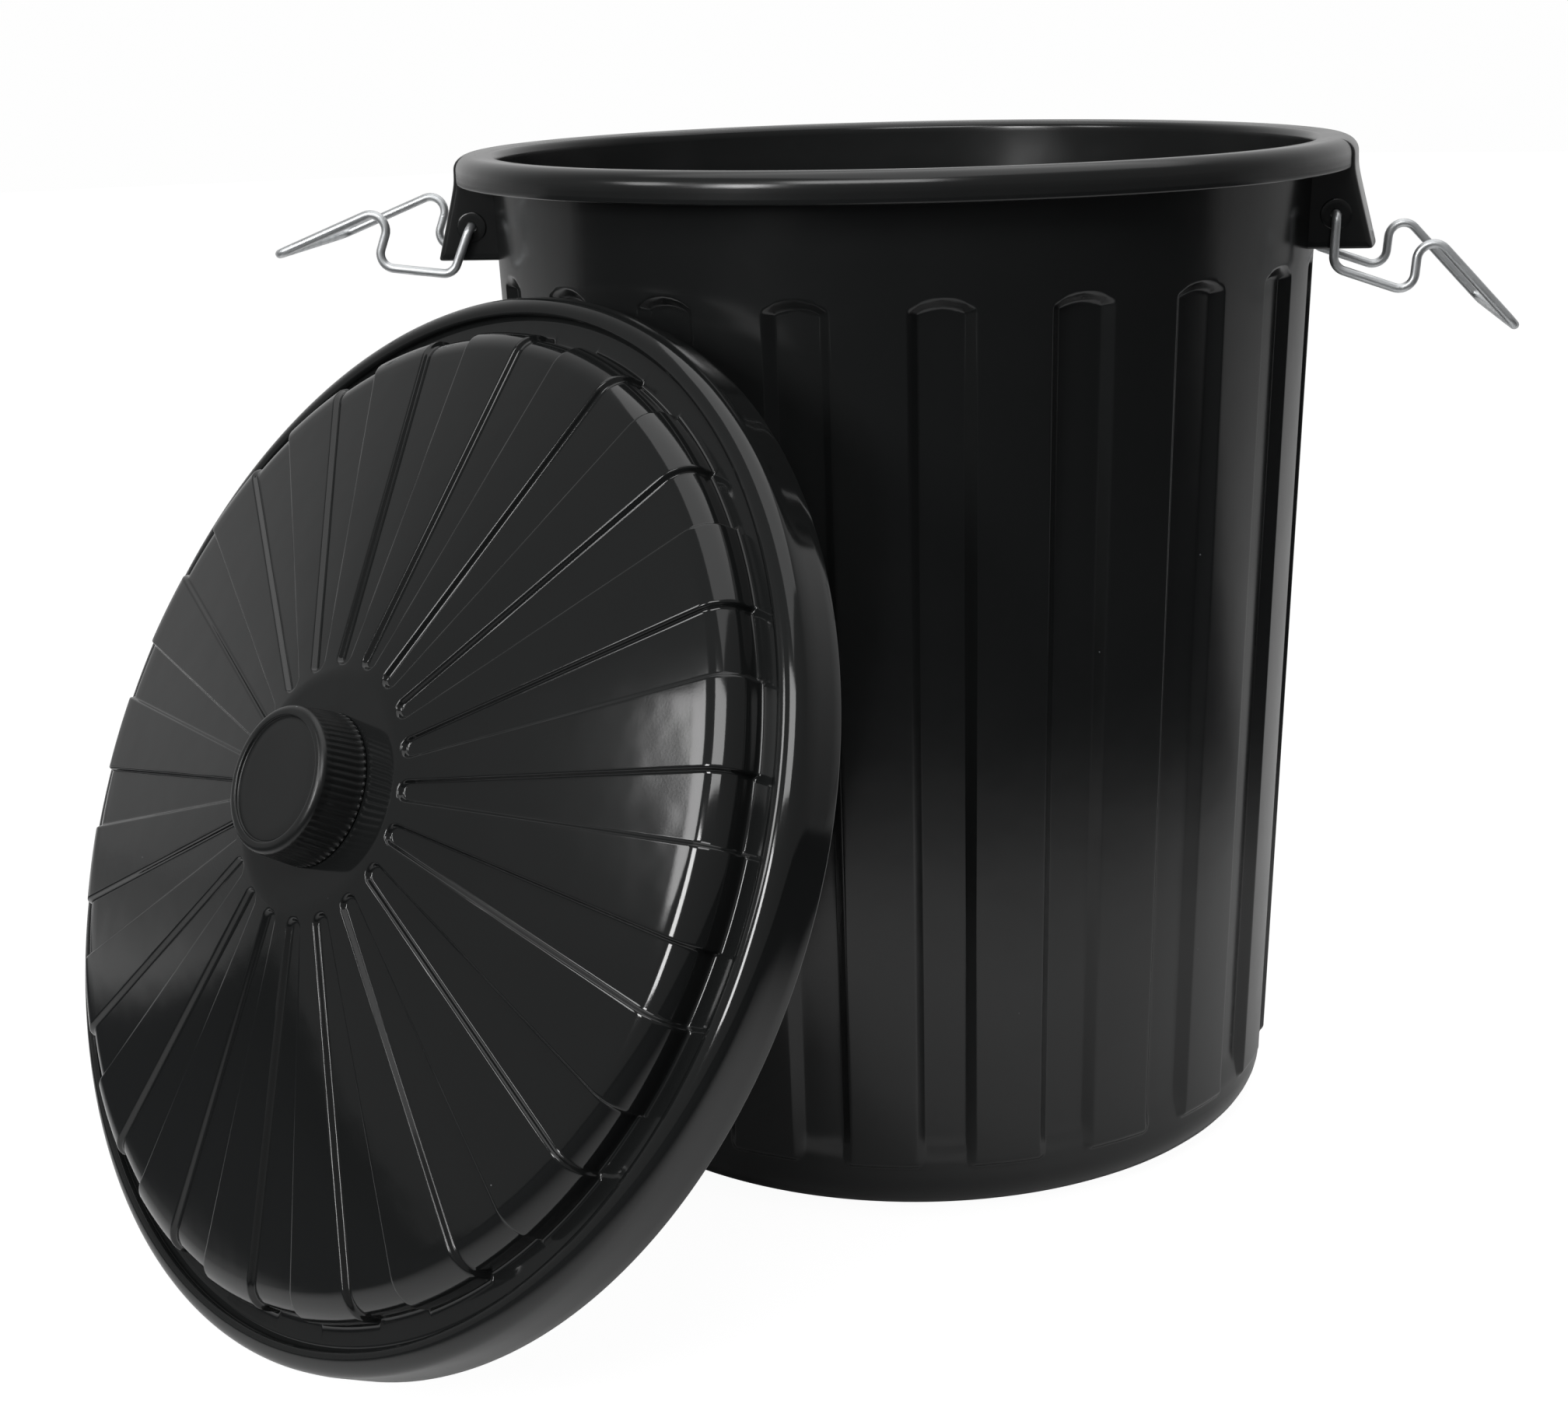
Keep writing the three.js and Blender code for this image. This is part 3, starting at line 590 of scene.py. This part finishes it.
def lid_outline(size):
    """Rows of the lid's closed outline, in millimetres from its skirt's lower edge.

    Each row is a radius, a height, and how far a recess moves it in radius and in height. The
    movement is along the inward normal on the cone and shoulder, and towards the axis on the dome's
    upright wall, where it fades out over the flange.
    """
    wall, depth = size.wall / MM, size.flute_depth / MM
    outer, flange = size.radius / MM, size.flange_height / MM
    dome, bend = size.dome_radius / MM, size.shoulder_radius / MM
    crown_z, crown_r = size.crown_height / MM, size.crown_radius / MM
    centre = np.array((dome - bend, flange + size.dome_wall / MM))
    run, rise = centre[0] - crown_r, crown_z - centre[1]
    slope = math.asin(rise / math.hypot(run, rise)) - math.asin(bend / math.hypot(run, rise))
    steep = 90 - math.degrees(slope)
    normal = np.array((math.sin(slope), math.cos(slope)))
    cone = lambda r, drop: np.stack(
        [r - drop * normal[0], crown_z - (r - crown_r) * math.tan(slope) - drop * normal[1]], axis=1)
    hole = size.stem_hole / MM

    def skin(drop, cone_radii, bend_steps):
        cone_rows = cone(cone_radii, drop)
        bend_rows = arc(centre, bend - drop, steep, 0, bend_steps)
        angles = np.radians(np.linspace(steep, 0, bend_steps + 1))
        return np.vstack([
            np.column_stack([cone_rows, np.tile(-depth * normal, (len(cone_rows), 1))]),
            np.column_stack([bend_rows, -depth * np.cos(angles), -depth * np.sin(angles)]),
        ])

    fixed = lambda rows: np.column_stack([rows, np.zeros((len(rows), 2))])
    slid = lambda rows, amounts: np.column_stack([rows, -depth * np.asarray(amounts), np.zeros(len(rows))])
    # rows on the cone lie close together over the recesses' rounded inner ends
    radii = np.concatenate([np.linspace(60.4, 69, 17), [71, 76, 88, 110, 140, 172, 200, 218, 225]])
    bead = np.array((outer - 9.3, flange + LID_BEAD_RISE - LID_BEAD_RADIUS))
    outside = [
        fixed(np.column_stack([[hole, 22, 36, 46, 54, crown_r], np.full(6, crown_z)])),
        skin(0, radii, 12),
        slid(np.column_stack([np.full(3, dome), flange + np.array((5.4, 4.0, 2.4))]), (1, 1, 1)),
        slid(arc((dome + LID_FILLET, flange + LID_FILLET), LID_FILLET, 187, 265, 4), (1, 1, 1, 1, 0.9)),
        slid(line((dome + 3.2, flange - 0.05), (dome + 10.6, flange - 0.2), 4), (0.7, 0.35, 0.1, 0)),
        fixed(arc((outer - 11.6, flange + 0.2), GROOVE_RADIUS, 200, 330, 4)),
        fixed(arc(bead, LID_BEAD_RADIUS, 112, 4, 12)),
        fixed(line((outer - 0.6, flange - 6.5), (outer, 2), 4)),
        fixed(arc((outer - wall / 2, wall / 2), wall / 2, 0, -180, 7)),
    ]
    under = flange - wall
    inside = [
        fixed(line((outer - wall, 2), (outer - wall - 0.9, under - 4), 3)),
        fixed(arc((outer - wall - 4.9, under - 4), 4, 0, 90, 4)),
        fixed(line((outer - wall - 8, under), (dome + 3, under), 2)),
        slid(np.array([(dome + 1, under), (dome - wall + 0.6, under + 0.5), (dome - wall, under + 2.2)]),
             (0.4, 0.95, 1)),
        skin(wall, radii[[0, 4, 8, 12, 16, 18, 20, 22, 24, 25]], 8)[::-1],
        fixed(np.column_stack([[crown_r, hole], np.full(2, crown_z - wall)])),
    ]
    return np.vstack(outside + inside)


def lid_recess(degrees, radii):
    """How deep each grid point lies in a radial recess of the lid, from 0 to 1.

    Across the recess the distance is measured along the arc from its side wall, and the inner end
    is rounded to half the recess's width there.
    """
    across = np.radians(from_ridge(degrees) - LID_WALL_CENTRE) * radii[:, None]
    inside = inside_rounded(across, radii[:, None] - LID_FLUTE_START, LID_END_CORNER)
    return smooth_step(inside, LID_WALL_HALF)


def lid_shell(size):
    """The lid's moulding as one closed surface, placed where the frame's lid node leans."""
    outline = lid_outline(size)
    degrees = all_columns(LID_HALF_PITCH)
    recess = lid_recess(degrees, outline[:, 0])
    radius = (outline[:, :1] + outline[:, 2:3] * recess) * MM
    height = (outline[:, 1:2] + outline[:, 3:4] * recess) * MM
    # the first column is a ridge's centre, half a pitch before the recess that spin points at
    points = revolved((radius, height), degrees + size.spin - PITCH / 2)
    quads = grid_faces(points.shape[0], degrees.size, True, True)
    return solid_mesh("lid_shell", leaning(points.reshape(-1, 3), size), quads)


def leaning(points, size):
    """Points of the lid's own frame, moved to where it leans: tipped up, then turned about +Z."""
    tilt, facing = math.pi / 2 - size.lean, size.facing
    turn = Matrix.Translation(size.lean_place) @ Matrix.Rotation(facing, 4, "Z") \
        @ Matrix.Rotation(tilt, 4, "X")
    turn = np.array(turn)
    return points @ turn[:3, :3].T + turn[:3, 3]


COLUMNS_PER_RIB = 8
# in millimetres
KNOB_DRAFT = 2  # by which its front's radius is less than its foot's
KNOB_EDGE = 3.4  # rounding of its front edge
KNOB_DISC_RADIUS = 29.2  # of the sunk disc on its front
KNOB_DISC_DEPTH = 1.6
STEM_CLEARANCE = 0.3  # in the lid's hole, and under the lid
BARB_LIP = 1.6  # of the barb past the stem
BARB_LENGTH = 5


def knob_shell(size, lid):
    """The knob as one closed surface: a hollow cap with knurled sides, on a barbed stem.

    The knurl moves the side in and out as a rounded wave round the cap. Its depth fades out before
    the cap's front edge and at its foot.
    """
    columns = size.rib_count * COLUMNS_PER_RIB
    outer, height = size.radius / MM, size.height / MM
    front, disc = outer - KNOB_DRAFT, height - KNOB_DISC_DEPTH
    stem, barb = lid.stem_hole / MM - STEM_CLEARANCE, -lid.wall / MM - STEM_CLEARANCE
    ceiling = height - 4.6
    side = line((outer, 0.9), (front + 0.15, height - 5), 16)
    outline = np.vstack([
        line((0.01, disc), (KNOB_DISC_RADIUS, disc), 5),
        arc((KNOB_DISC_RADIUS, height - 2.6), 1.0, 90, 45, 2),
        arc((31.3, height - 0.9), 0.9, 200, 90, 4),
        arc((front - KNOB_EDGE, height - KNOB_EDGE), KNOB_EDGE, 84, 3, 8),
        side[::-1],
        arc((outer - 0.8, 1.1), 0.8, -10, -90, 3),
        line((outer - 3, 0.3), (front - 3, ceiling), 3),
        line((front - 3.2, ceiling), (stem, ceiling), 3),
        line((stem, ceiling), (stem, barb), 3),
        [(stem, barb), (stem + BARB_LIP, barb), (stem - BARB_LIP, barb - BARB_LENGTH),
         (0.01, barb - BARB_LENGTH)],
    ])
    on_side = (outline[:, 0] > front - 1.2) & (outline[:, 1] < height - 4) & (outline[:, 1] > 0.4)
    fade = smooth_step(outline[:, 1] - 2.2, 1.2) * smooth_step(height - 5.6 - outline[:, 1], 0.8)
    degrees = np.linspace(0, 360, columns, endpoint=False)
    wave = 0.5 - 0.5 * np.cos(np.radians(degrees) * size.rib_count)
    knurl = size.rib_depth / MM * (on_side * fade)[:, None] * (1 - wave[None, :] ** 0.7)
    radius = (outline[:, :1] - knurl) * MM
    along = spread(outline[:, 1] * MM + lid.crown_height, columns)
    points = revolved((radius, along), degrees).reshape(-1, 3)
    return tube_mesh("lid_knob_cap", leaning(points, lid), len(outline))


# ------------------------------------------------------------------------------ the wires


STATION_GAP = 0.005  # least distance between stations on a long straight run


def bent_path(corners, bends, steps):
    """Stations along straight runs and round bends: places, and directions, as two arrays.

    Each bend is an arc tangent to both runs, in that many steps. A straight run has two steps or
    more, and a long one has them as close together as the gap lets them be.
    """
    places, ways = [], []

    def straight(start, end, way, last):
        count = max(2, int((end - start).length / STATION_GAP))
        for k in range(count + last):
            places.append(start.lerp(end, k / count))
            ways.append(way)

    runs = [(b - a).normalized() for a, b in zip(corners, corners[1:])]
    cursor = corners[0]
    for i, corner in enumerate(corners[1:-1], start=1):
        before, after, radius = runs[i - 1], runs[i], bends[i - 1]
        turn = before.angle(after)
        start = corner - before * (radius * math.tan(turn / 2))
        axis = before.cross(after).normalized()
        spoke = axis.cross(before) * radius
        straight(cursor, start, before, last=0)
        centre = start + spoke
        for k in range(steps + 1):
            spin = Matrix.Rotation(turn * k / steps, 3, axis)
            places.append(centre + spin @ -spoke)
            ways.append(spin @ before)
        cursor = places.pop()
        ways.pop()
    straight(cursor, corners[-1], runs[-1], last=1)
    return np.array([tuple(p) for p in places]), np.array([tuple(w) for w in ways])


WIRE_END_REACH = 0.012  # inside the ear's cheek
WIRE_SIDES = 24
WIRE_END_SHARE = 0.82  # of the wire's radius, at its burnished ends
BEND_FLATTENING = 0.035  # share of the radius lost at a bend
FULL_BEND = 0.25  # radians between two neighbours of a station, from which a bend counts in full
LINES_PER_METRE = 18  # drawing lines, one after another along the wire
LINES_PER_RADIAN = 10  # the same, side by side round it


def wire_shell(size, bin_size, side, turn):
    """One bent wire handle: a circle carried along its centreline, a little flattened at each bend.

    The circle's two axes are carried from station to station by the least turn, so that the wire
    doesn't twist.
    """
    reach = bin_size.ear_width / 2 - bin_size.ear_wall - WIRE_END_REACH
    arm = size.arm_side
    profile = [(0, 0), size.knee, size.heel, size.hook, size.grip]
    near = [Vector((out, -arm, up)) for out, up in profile]
    corners = [Vector((0, -reach, 0)), *near, *[Vector((p.x, -p.y, p.z)) for p in reversed(near)],
               Vector((0, reach, 0))]
    bends = [size.pivot_bend, size.knee_bend, size.knee_bend, size.hook_bend, size.grip_bend]
    places, ways = bent_path(corners, bends + bends[::-1], 12)
    bending = np.zeros(len(places))
    bending[1:-1] = np.linalg.norm(ways[2:] - ways[:-2], axis=1)
    bending = np.convolve(np.clip(bending / FULL_BEND, 0, 1), np.ones(5) / 5, mode="same")
    side_axis = np.zeros_like(places)
    axis = np.cross(ways[0], (0, 0, 1))
    for i, way in enumerate(ways):
        axis = axis - way * axis.dot(way)
        axis = axis / np.linalg.norm(axis)
        side_axis[i] = axis
    up_axis = np.cross(ways, side_axis)
    angle = np.linspace(0, 2 * np.pi, WIRE_SIDES, endpoint=False)
    run = np.concatenate([[0], np.cumsum(np.linalg.norm(np.diff(places, axis=0), axis=1))])
    dents = 1 - BEND_FLATTENING * bending[:, None] * (0.5 + 0.5 * np.cos(2 * angle + 0.7)[None, :])
    radius = (size.wire_radius * dents)[:, :, None]
    ends = np.ones(len(places))
    ends[[0, -1]] = WIRE_END_SHARE
    points = places[:, None, :] + radius * ends[:, None, None] * (
        np.cos(angle)[None, :, None] * side_axis[:, None, :]
        + np.sin(angle)[None, :, None] * up_axis[:, None, :])
    rows, columns = points.shape[:2]
    # the attribute is the place along the wire and round it, stretched for the drawing lines
    around = np.stack([
        spread(run * LINES_PER_METRE, columns),
        np.tile(np.cos(angle) * LINES_PER_RADIAN, (rows, 1)),
        np.tile(np.sin(angle) * LINES_PER_RADIAN, (rows, 1)),
    ], axis=-1).reshape(-1, 3)
    lift = Matrix.Rotation(-turn, 3, "Y")
    points = points.reshape(-1, 3) @ np.array(lift).T
    pivot = np.array((bin_size.pivot_radius, 0, bin_size.height - bin_size.pivot_drop))
    points = (points + pivot) * (side, side, 1)
    return tube_mesh("wire", points, rows, attribute=around)


# ------------------------------------------------------------------------------ settings


def length(name, default, description):
    """A length property in metres."""
    return bpy.props.FloatProperty(name=name, default=default, min=0.0, precision=5, unit="LENGTH",
                                   subtype="DISTANCE", description=description)


def angle(name, default, description):
    """An angle property in radians."""
    return bpy.props.FloatProperty(name=name, default=default, unit="ROTATION", subtype="ANGLE",
                                   description=description)


def power(name, default, description):
    """A light's power in watts."""
    return bpy.props.FloatProperty(name=name, default=default, min=0.0, unit="POWER",
                                   description=description)


def corner(name, default, description):
    """A corner of the wire's outline: how far out from the pivot it lies, and how far above it."""
    return bpy.props.FloatVectorProperty(name=name, default=default, size=2, unit="LENGTH",
                                         description=description)


def colour(name, default, description):
    """A colour written as sRGB hex text."""
    return bpy.props.StringProperty(name=name, default=default, description=description)


class BinSettings(bpy.types.PropertyGroup):
    height: length("Height", 0.554, "From the floor to the top of the rim")
    mouth_radius: length("Mouth radius", 0.230, "The ridges' cone at the rim's height")
    foot_radius: length("Foot radius", 0.211, "The ridges' cone carried down to the floor")
    wall: length("Wall", 0.003, "Thickness of the wall")
    base_thickness: length("Base", 0.0035, "Thickness of the floor")
    base_corner: length("Base corner", 0.022, "Rounding between the wall and the base")
    base_step: length("Base step", 0.0026, "How far the plain band lies inside the ridges")
    flute_depth: length("Flute depth", 0.0054, "How far a recess lies in from the ridges")
    floor_blend: length("Floor blend", 0.018, "Height over which a recess's floor comes out to the band")
    foot_height: length("Ridge foot", 0.0295, "Height at which the ridges end")
    flute_top: length("Flute top", 0.4895, "Height of the recesses' arched tops")
    arch_rise: length("Arch rise", 0.0044, "Rise of the shallow arch over a recess")
    rim_radius: length("Rim radius", 0.249, "Outside of the rolled rim")
    rim_depth: length("Rim depth", 0.0157, "Height of the rolled rim")
    rim_lip: length("Rim lip", 0.003, "Thickness of the rolled rim")
    rim_bend: length("Rim bend", 0.008, "Rounding of the rim's outer corner")
    rim_inner_corner: length("Rim inner corner", 0.004, "Rounding of the rim's inner corner")
    rim_fall: length("Rim fall", 0.0006, "From the rim's crown down to its inner edge")
    ear_width: length("Ear width", 0.117, "Between the outer faces of an ear's cheeks")
    ear_wall: length("Ear wall", 0.003, "Thickness of an ear's walls")
    ear_drop: length("Ear drop", 0.042, "From the rim's lower edge to the ear's foot")
    ear_stand: length("Ear stand", 0.0012, "How far the ear's skin stands out over the rim")
    ear_flare: length("Ear flare", 0.012, "How far the ear's foot stands out past the rim")
    pivot_radius: length("Pivot radius", 0.2347, "From the bin's axis to a handle's pivot")
    pivot_drop: length("Pivot drop", 0.0392, "From the rim's top down to the pivots")
    colour: colour("Plastic", "#191a1a", "Carbon-black polypropylene")


class LidSettings(bpy.types.PropertyGroup):
    radius: length("Radius", 0.268, "Outside of the skirt's lower edge")
    wall: length("Wall", 0.0028, "Thickness of the lid")
    flange_height: length("Flange height", 0.025, "From the skirt's edge to the flange's top")
    dome_radius: length("Dome radius", 0.244, "The dome's upright wall at the ridges")
    dome_wall: length("Dome wall", 0.0065, "Height of the upright wall below the shoulder")
    shoulder_radius: length("Shoulder radius", 0.016, "Rounding between the wall and the cone")
    crown_height: length("Crown height", 0.073, "From the skirt's edge to the flat crown")
    crown_radius: length("Crown radius", 0.058, "Radius of the flat crown")
    stem_hole: length("Stem hole", 0.0083, "Radius of the hole for the knob's stem")
    flute_depth: length("Flute depth", 0.0025, "How far a recess lies below the ridges")
    spin: bpy.props.FloatProperty(name="Spin", default=12.2, description="Degrees to a recess's centre")
    lean: angle("Lean", math.radians(26), "How far the lid leans back from upright")
    facing: angle("Facing", math.radians(-40), "Which way the lid faces, about +Z")
    lean_place: bpy.props.FloatVectorProperty(
        name="Place", default=(-0.21686, -0.26876, 0.24084), size=3, unit="LENGTH",
        description="The centre of the skirt's lower edge")
    colour: colour("Plastic", "#191a1a", "Carbon-black polypropylene")


class KnobSettings(bpy.types.PropertyGroup):
    radius: length("Radius", 0.038, "Radius at the knob's foot")
    height: length("Height", 0.025, "How far the knob stands above the crown")
    rib_count: bpy.props.IntProperty(name="Ribs", default=66, min=12,
                                     description="Knurl ribs round the knob")
    rib_depth: length("Rib depth", 0.0008, "Depth of the grooves between the ribs")
    colour: colour("Plastic", "#161717", "Carbon-black polypropylene, satin")


class HandleSettings(bpy.types.PropertyGroup):
    wire_radius: length("Wire radius", 0.0025, "Radius of the wire")
    arm_side: length("Arm side", 0.0633, "From the handle's middle to each arm's centre")
    knee: corner("Knee", (0.006, -0.027), "First corner, out from and above the pivot")
    heel: corner("Heel", (0.050, -0.030), "Second corner, out from and above the pivot")
    hook: corner("Hook", (0.0435, 0.007), "The corner that hooks over the lid's edge")
    grip: corner("Grip", (0.107, -0.033), "The corners of the grip bar")
    pivot_bend: length("Pivot bend", 0.004, "Centreline radius of the bend at the ear")
    knee_bend: length("Knee bend", 0.008, "Centreline radius of the first two bends")
    hook_bend: length("Hook bend", 0.0085, "Centreline radius of the hook's bend")
    grip_bend: length("Grip bend", 0.006, "Centreline radius of the grip's bends")
    right_turn: angle("Right turn", math.radians(-15.1), "How far the right handle is raised")
    left_turn: angle("Left turn", math.radians(10.3), "How far the left handle is raised")
    colour: colour("Zinc", "#e2e4e5", "Bright zinc plating")


class StageSettings(bpy.types.PropertyGroup):
    key_power: power("Key power", 30, "The main soft box")
    side_power: power("Side power", 8.2, "The soft box on the left")
    front_power: power("Front power", 17, "The high soft box in front")
    top_power: power("Top power", 30, "The soft box overhead")
    room_light: bpy.props.FloatProperty(name="Room light", default=0.22,
                                        description="The dark studio's glow")
    backdrop: bpy.props.FloatProperty(name="Backdrop", default=0.7,
                                      description="The lit backdrop's glow")
    # the pool of light is painted into the floor's colour, and no lamp casts it
    pool: length("Pool", 0.9, "Radius of the pale pool of light on the floor")
    floor_colour: colour("Floor", "#f4f4f4", "Seamless studio paper")


# ------------------------------------------------------------------------------ operators


class MakeBin(bpy.types.Operator):
    """Make the fluted bin with its rim and bracket ears"""
    bl_idname = "fluted_bin.make_bin"
    bl_label = "Bin"

    def execute(self, context):
        size = context.scene.bin_settings
        plastic = moulded_polypropylene("glossy_black_polypropylene_bin", size.colour,
                                        roughness=0.2, grain=0.25)
        place_piece("bin_shell", bin_shell(size), plastic, "bin", "bin_plastic", "bin")
        for name, side in (("right_ear", 1), ("left_ear", -1)):
            place_piece(name, drilled_ear(size, side), plastic, "bin", "bin_plastic", "bin")
        return {"FINISHED"}


class MakeLid(bpy.types.Operator):
    """Make the domed lid and its knurled knob"""
    bl_idname = "fluted_bin.make_lid"
    bl_label = "Lid and knob"

    def execute(self, context):
        lid, knob = context.scene.lid_settings, context.scene.knob_settings
        plastic = moulded_polypropylene("glossy_black_polypropylene_lid", lid.colour,
                                        roughness=0.09, grain=0.2)
        satin = moulded_polypropylene("satin_black_polypropylene_knob", knob.colour,
                                      roughness=0.34, grain=0.5)
        place_piece("lid_shell", lid_shell(lid), plastic, "lid", "lid_plastic", "lid")
        place_piece("lid_knob_cap", knob_shell(knob, lid), satin, "lid", "knob_plastic", "lid_knob")
        return {"FINISHED"}


class MakeHandles(bpy.types.Operator):
    """Make the two bent wire handles"""
    bl_idname = "fluted_bin.make_handles"
    bl_label = "Wire handles"

    def execute(self, context):
        size, bin_size = context.scene.handle_settings, context.scene.bin_settings
        zinc = zinc_plated_wire("bright_zinc_plated_steel_wire", size.colour, roughness=0.4)
        for name, side, turn in (("right", 1, size.right_turn), ("left", -1, size.left_turn)):
            mesh = wire_shell(size, bin_size, side, turn)
            place_piece(f"{name}_wire", mesh, zinc, f"{name}_handle", "handle_wire", f"{name}_handle")
        return {"FINISHED"}


def soft_box(name, place, aim, width, height, power, roll=0.0):
    """A rectangular area light that faces the aim point, rolled by some degrees about its beam."""
    light = bpy.data.lights.new(name, "AREA")
    light.shape, light.size, light.size_y, light.energy = "RECTANGLE", width, height, power
    box = bpy.data.objects.new(name, light)
    bpy.context.scene.collection.objects.link(box)
    box.location = place
    facing = (Vector(aim) - Vector(place)).to_track_quat("-Z", "Y").to_matrix()
    box.rotation_euler = (facing @ Matrix.Rotation(math.radians(roll), 3, "Z")).to_euler()


IMAGE_WIDTH, IMAGE_HEIGHT = 2016, 1827  # pixels of the photograph
FOCAL_PIXELS = 3094.4
AXIS_ROW = 820  # the pixel row that the lens's axis meets
SENSOR_WIDTH = 36
CAMERA_PLACE = (0.1049, -1.3753, 0.6266)
CAMERA_YAW, CAMERA_PITCH, CAMERA_ROLL = math.radians(-7.406), math.radians(-14.605), math.radians(-1.512)
FLOOR_RADIUS = 9.0
FLOOR_SIDES = 96
FLOOR_DROP = 0.0004  # below the object, so that their faces don't meet
BIN_AIM = (-0.05, -0.1, 0.3)  # inside the bin, a little towards the lid
LID_AIM = (-0.07, -0.41, 0.32)  # on the lid's dome, near its right edge


class MakeStage(bpy.types.Operator):
    """Make the camera, the pale floor and the soft studio light"""
    bl_idname = "fluted_bin.make_stage"
    bl_label = "Stage"

    def execute(self, context):
        self.make_camera(context.scene)
        self.make_floor(context.scene.stage_settings)
        self.make_lights(context.scene)
        return {"FINISHED"}

    def make_camera(self, scene):
        """The camera stands 1.38 m before the bin's axis, 0.63 m up, and looks down a little."""
        yaw, pitch, roll = CAMERA_YAW, CAMERA_PITCH, CAMERA_ROLL
        look = Vector((math.sin(yaw) * math.cos(pitch), math.cos(yaw) * math.cos(pitch), math.sin(pitch)))
        level = look.cross(Vector((0, 0, 1))).normalized()
        above = level.cross(look)
        right = level * math.cos(roll) + above * math.sin(roll)
        up = above * math.cos(roll) - level * math.sin(roll)
        camera = bpy.data.objects.new("camera", bpy.data.cameras.new("camera"))
        turn = Matrix((right, up, -look)).transposed().to_4x4()
        camera.matrix_world = Matrix.Translation(CAMERA_PLACE) @ turn
        camera.data.sensor_width = SENSOR_WIDTH
        camera.data.lens = SENSOR_WIDTH * FOCAL_PIXELS / IMAGE_WIDTH
        camera.data.shift_y = -(IMAGE_HEIGHT / 2 - AXIS_ROW) / IMAGE_WIDTH
        camera.data.clip_start, camera.data.clip_end = 0.05, 60
        scene.collection.objects.link(camera)
        scene.camera = camera

    def make_floor(self, settings):
        """A round sheet of seamless paper under the object."""
        turn = np.linspace(0, 2 * np.pi, FLOOR_SIDES, endpoint=False)
        points = np.stack([FLOOR_RADIUS * np.cos(turn), FLOOR_RADIUS * np.sin(turn),
                           np.full(FLOOR_SIDES, -FLOOR_DROP)], axis=1)
        mesh = bpy.data.meshes.new("floor")
        mesh.from_pydata(points.tolist(), [], [list(range(FLOOR_SIDES))])
        mesh.materials.append(studio_paper("white_seamless_paper", settings.floor_colour, settings.pool))
        floor = bpy.data.objects.new("floor", mesh)
        bpy.context.scene.collection.objects.link(floor)

    def make_lights(self, scene):
        """Soft boxes in a dark studio, with a lit white backdrop behind the object."""
        settings = scene.stage_settings
        world = bpy.data.worlds.new("studio")
        world.use_nodes = True
        tree = world.node_tree
        tree.nodes.clear()
        output = tree.nodes.new("ShaderNodeOutputWorld")
        way = add_node(tree, "ShaderNodeTexCoord").outputs["Generated"]
        behind = add_node(tree, "ShaderNodeSeparateXYZ", Vector=way).outputs["Y"]
        glow = ramp(tree, behind, 0.0, 0.85, settings.room_light, settings.backdrop, "SMOOTHSTEP")
        seen = add_node(tree, "ShaderNodeBackground", Color=(1, 1, 1, 1), Strength=0.99)
        room = add_node(tree, "ShaderNodeBackground", Color=linear("#f6f6f6"), Strength=glow)
        tree.links.new(seen_apart(tree, seen.outputs[0], room.outputs[0]), output.inputs["Surface"])
        scene.world = world
        scene.view_settings.view_transform = "Standard"
        soft_box("left_soft_box", place=(-2.21, -1.29, 1.51), aim=BIN_AIM, width=0.55, height=0.65,
                 power=settings.side_power, roll=34.7)
        soft_box("key_soft_box", place=(-1.66, -2.43, 1.35), aim=BIN_AIM, width=0.6, height=0.9,
                 power=settings.key_power)
        soft_box("front_soft_box", place=(-0.20, -1.90, 1.93), aim=LID_AIM, width=1.3, height=0.7,
                 power=settings.front_power)
        soft_box("top_soft_box", place=(0.2, 0.1, 2.8), aim=(0, -0.1, 0.3), width=3.0, height=3.0,
                 power=settings.top_power)


class FlutedBinPanel(bpy.types.Panel):
    """Lists the pieces of the bin"""
    bl_idname = "VIEW3D_PT_fluted_bin"
    bl_label = "Fluted Bin"
    bl_space_type = "VIEW_3D"
    bl_region_type = "UI"
    bl_category = "Fluted Bin"

    def draw(self, context):
        for operator, names in (
            (MakeBin, ["bin_settings"]), (MakeLid, ["lid_settings", "knob_settings"]),
            (MakeHandles, ["handle_settings"]), (MakeStage, ["stage_settings"]),
        ):
            box = self.layout.box()
            box.operator(operator.bl_idname)
            for group in [getattr(context.scene, name) for name in names]:
                for setting in group.__annotations__:
                    box.prop(group, setting)


SETTINGS = (
    ("bin_settings", BinSettings), ("lid_settings", LidSettings), ("knob_settings", KnobSettings),
    ("handle_settings", HandleSettings), ("stage_settings", StageSettings),
)
CLASSES = (MakeBin, MakeLid, MakeHandles, MakeStage, FlutedBinPanel)


def register():
    for name, group in SETTINGS:
        bpy.utils.register_class(group)
        setattr(bpy.types.Scene, name, bpy.props.PointerProperty(type=group))
    for item in CLASSES:
        bpy.utils.register_class(item)


def unregister():
    for item in reversed(CLASSES):
        bpy.utils.unregister_class(item)
    for name, group in reversed(SETTINGS):
        delattr(bpy.types.Scene, name)
        bpy.utils.unregister_class(group)


def main():
    register()
    bpy.ops.fluted_bin.make_stage()
    bpy.ops.fluted_bin.make_bin()
    bpy.ops.fluted_bin.make_lid()
    bpy.ops.fluted_bin.make_handles()


if __name__ == "__main__":
    main()
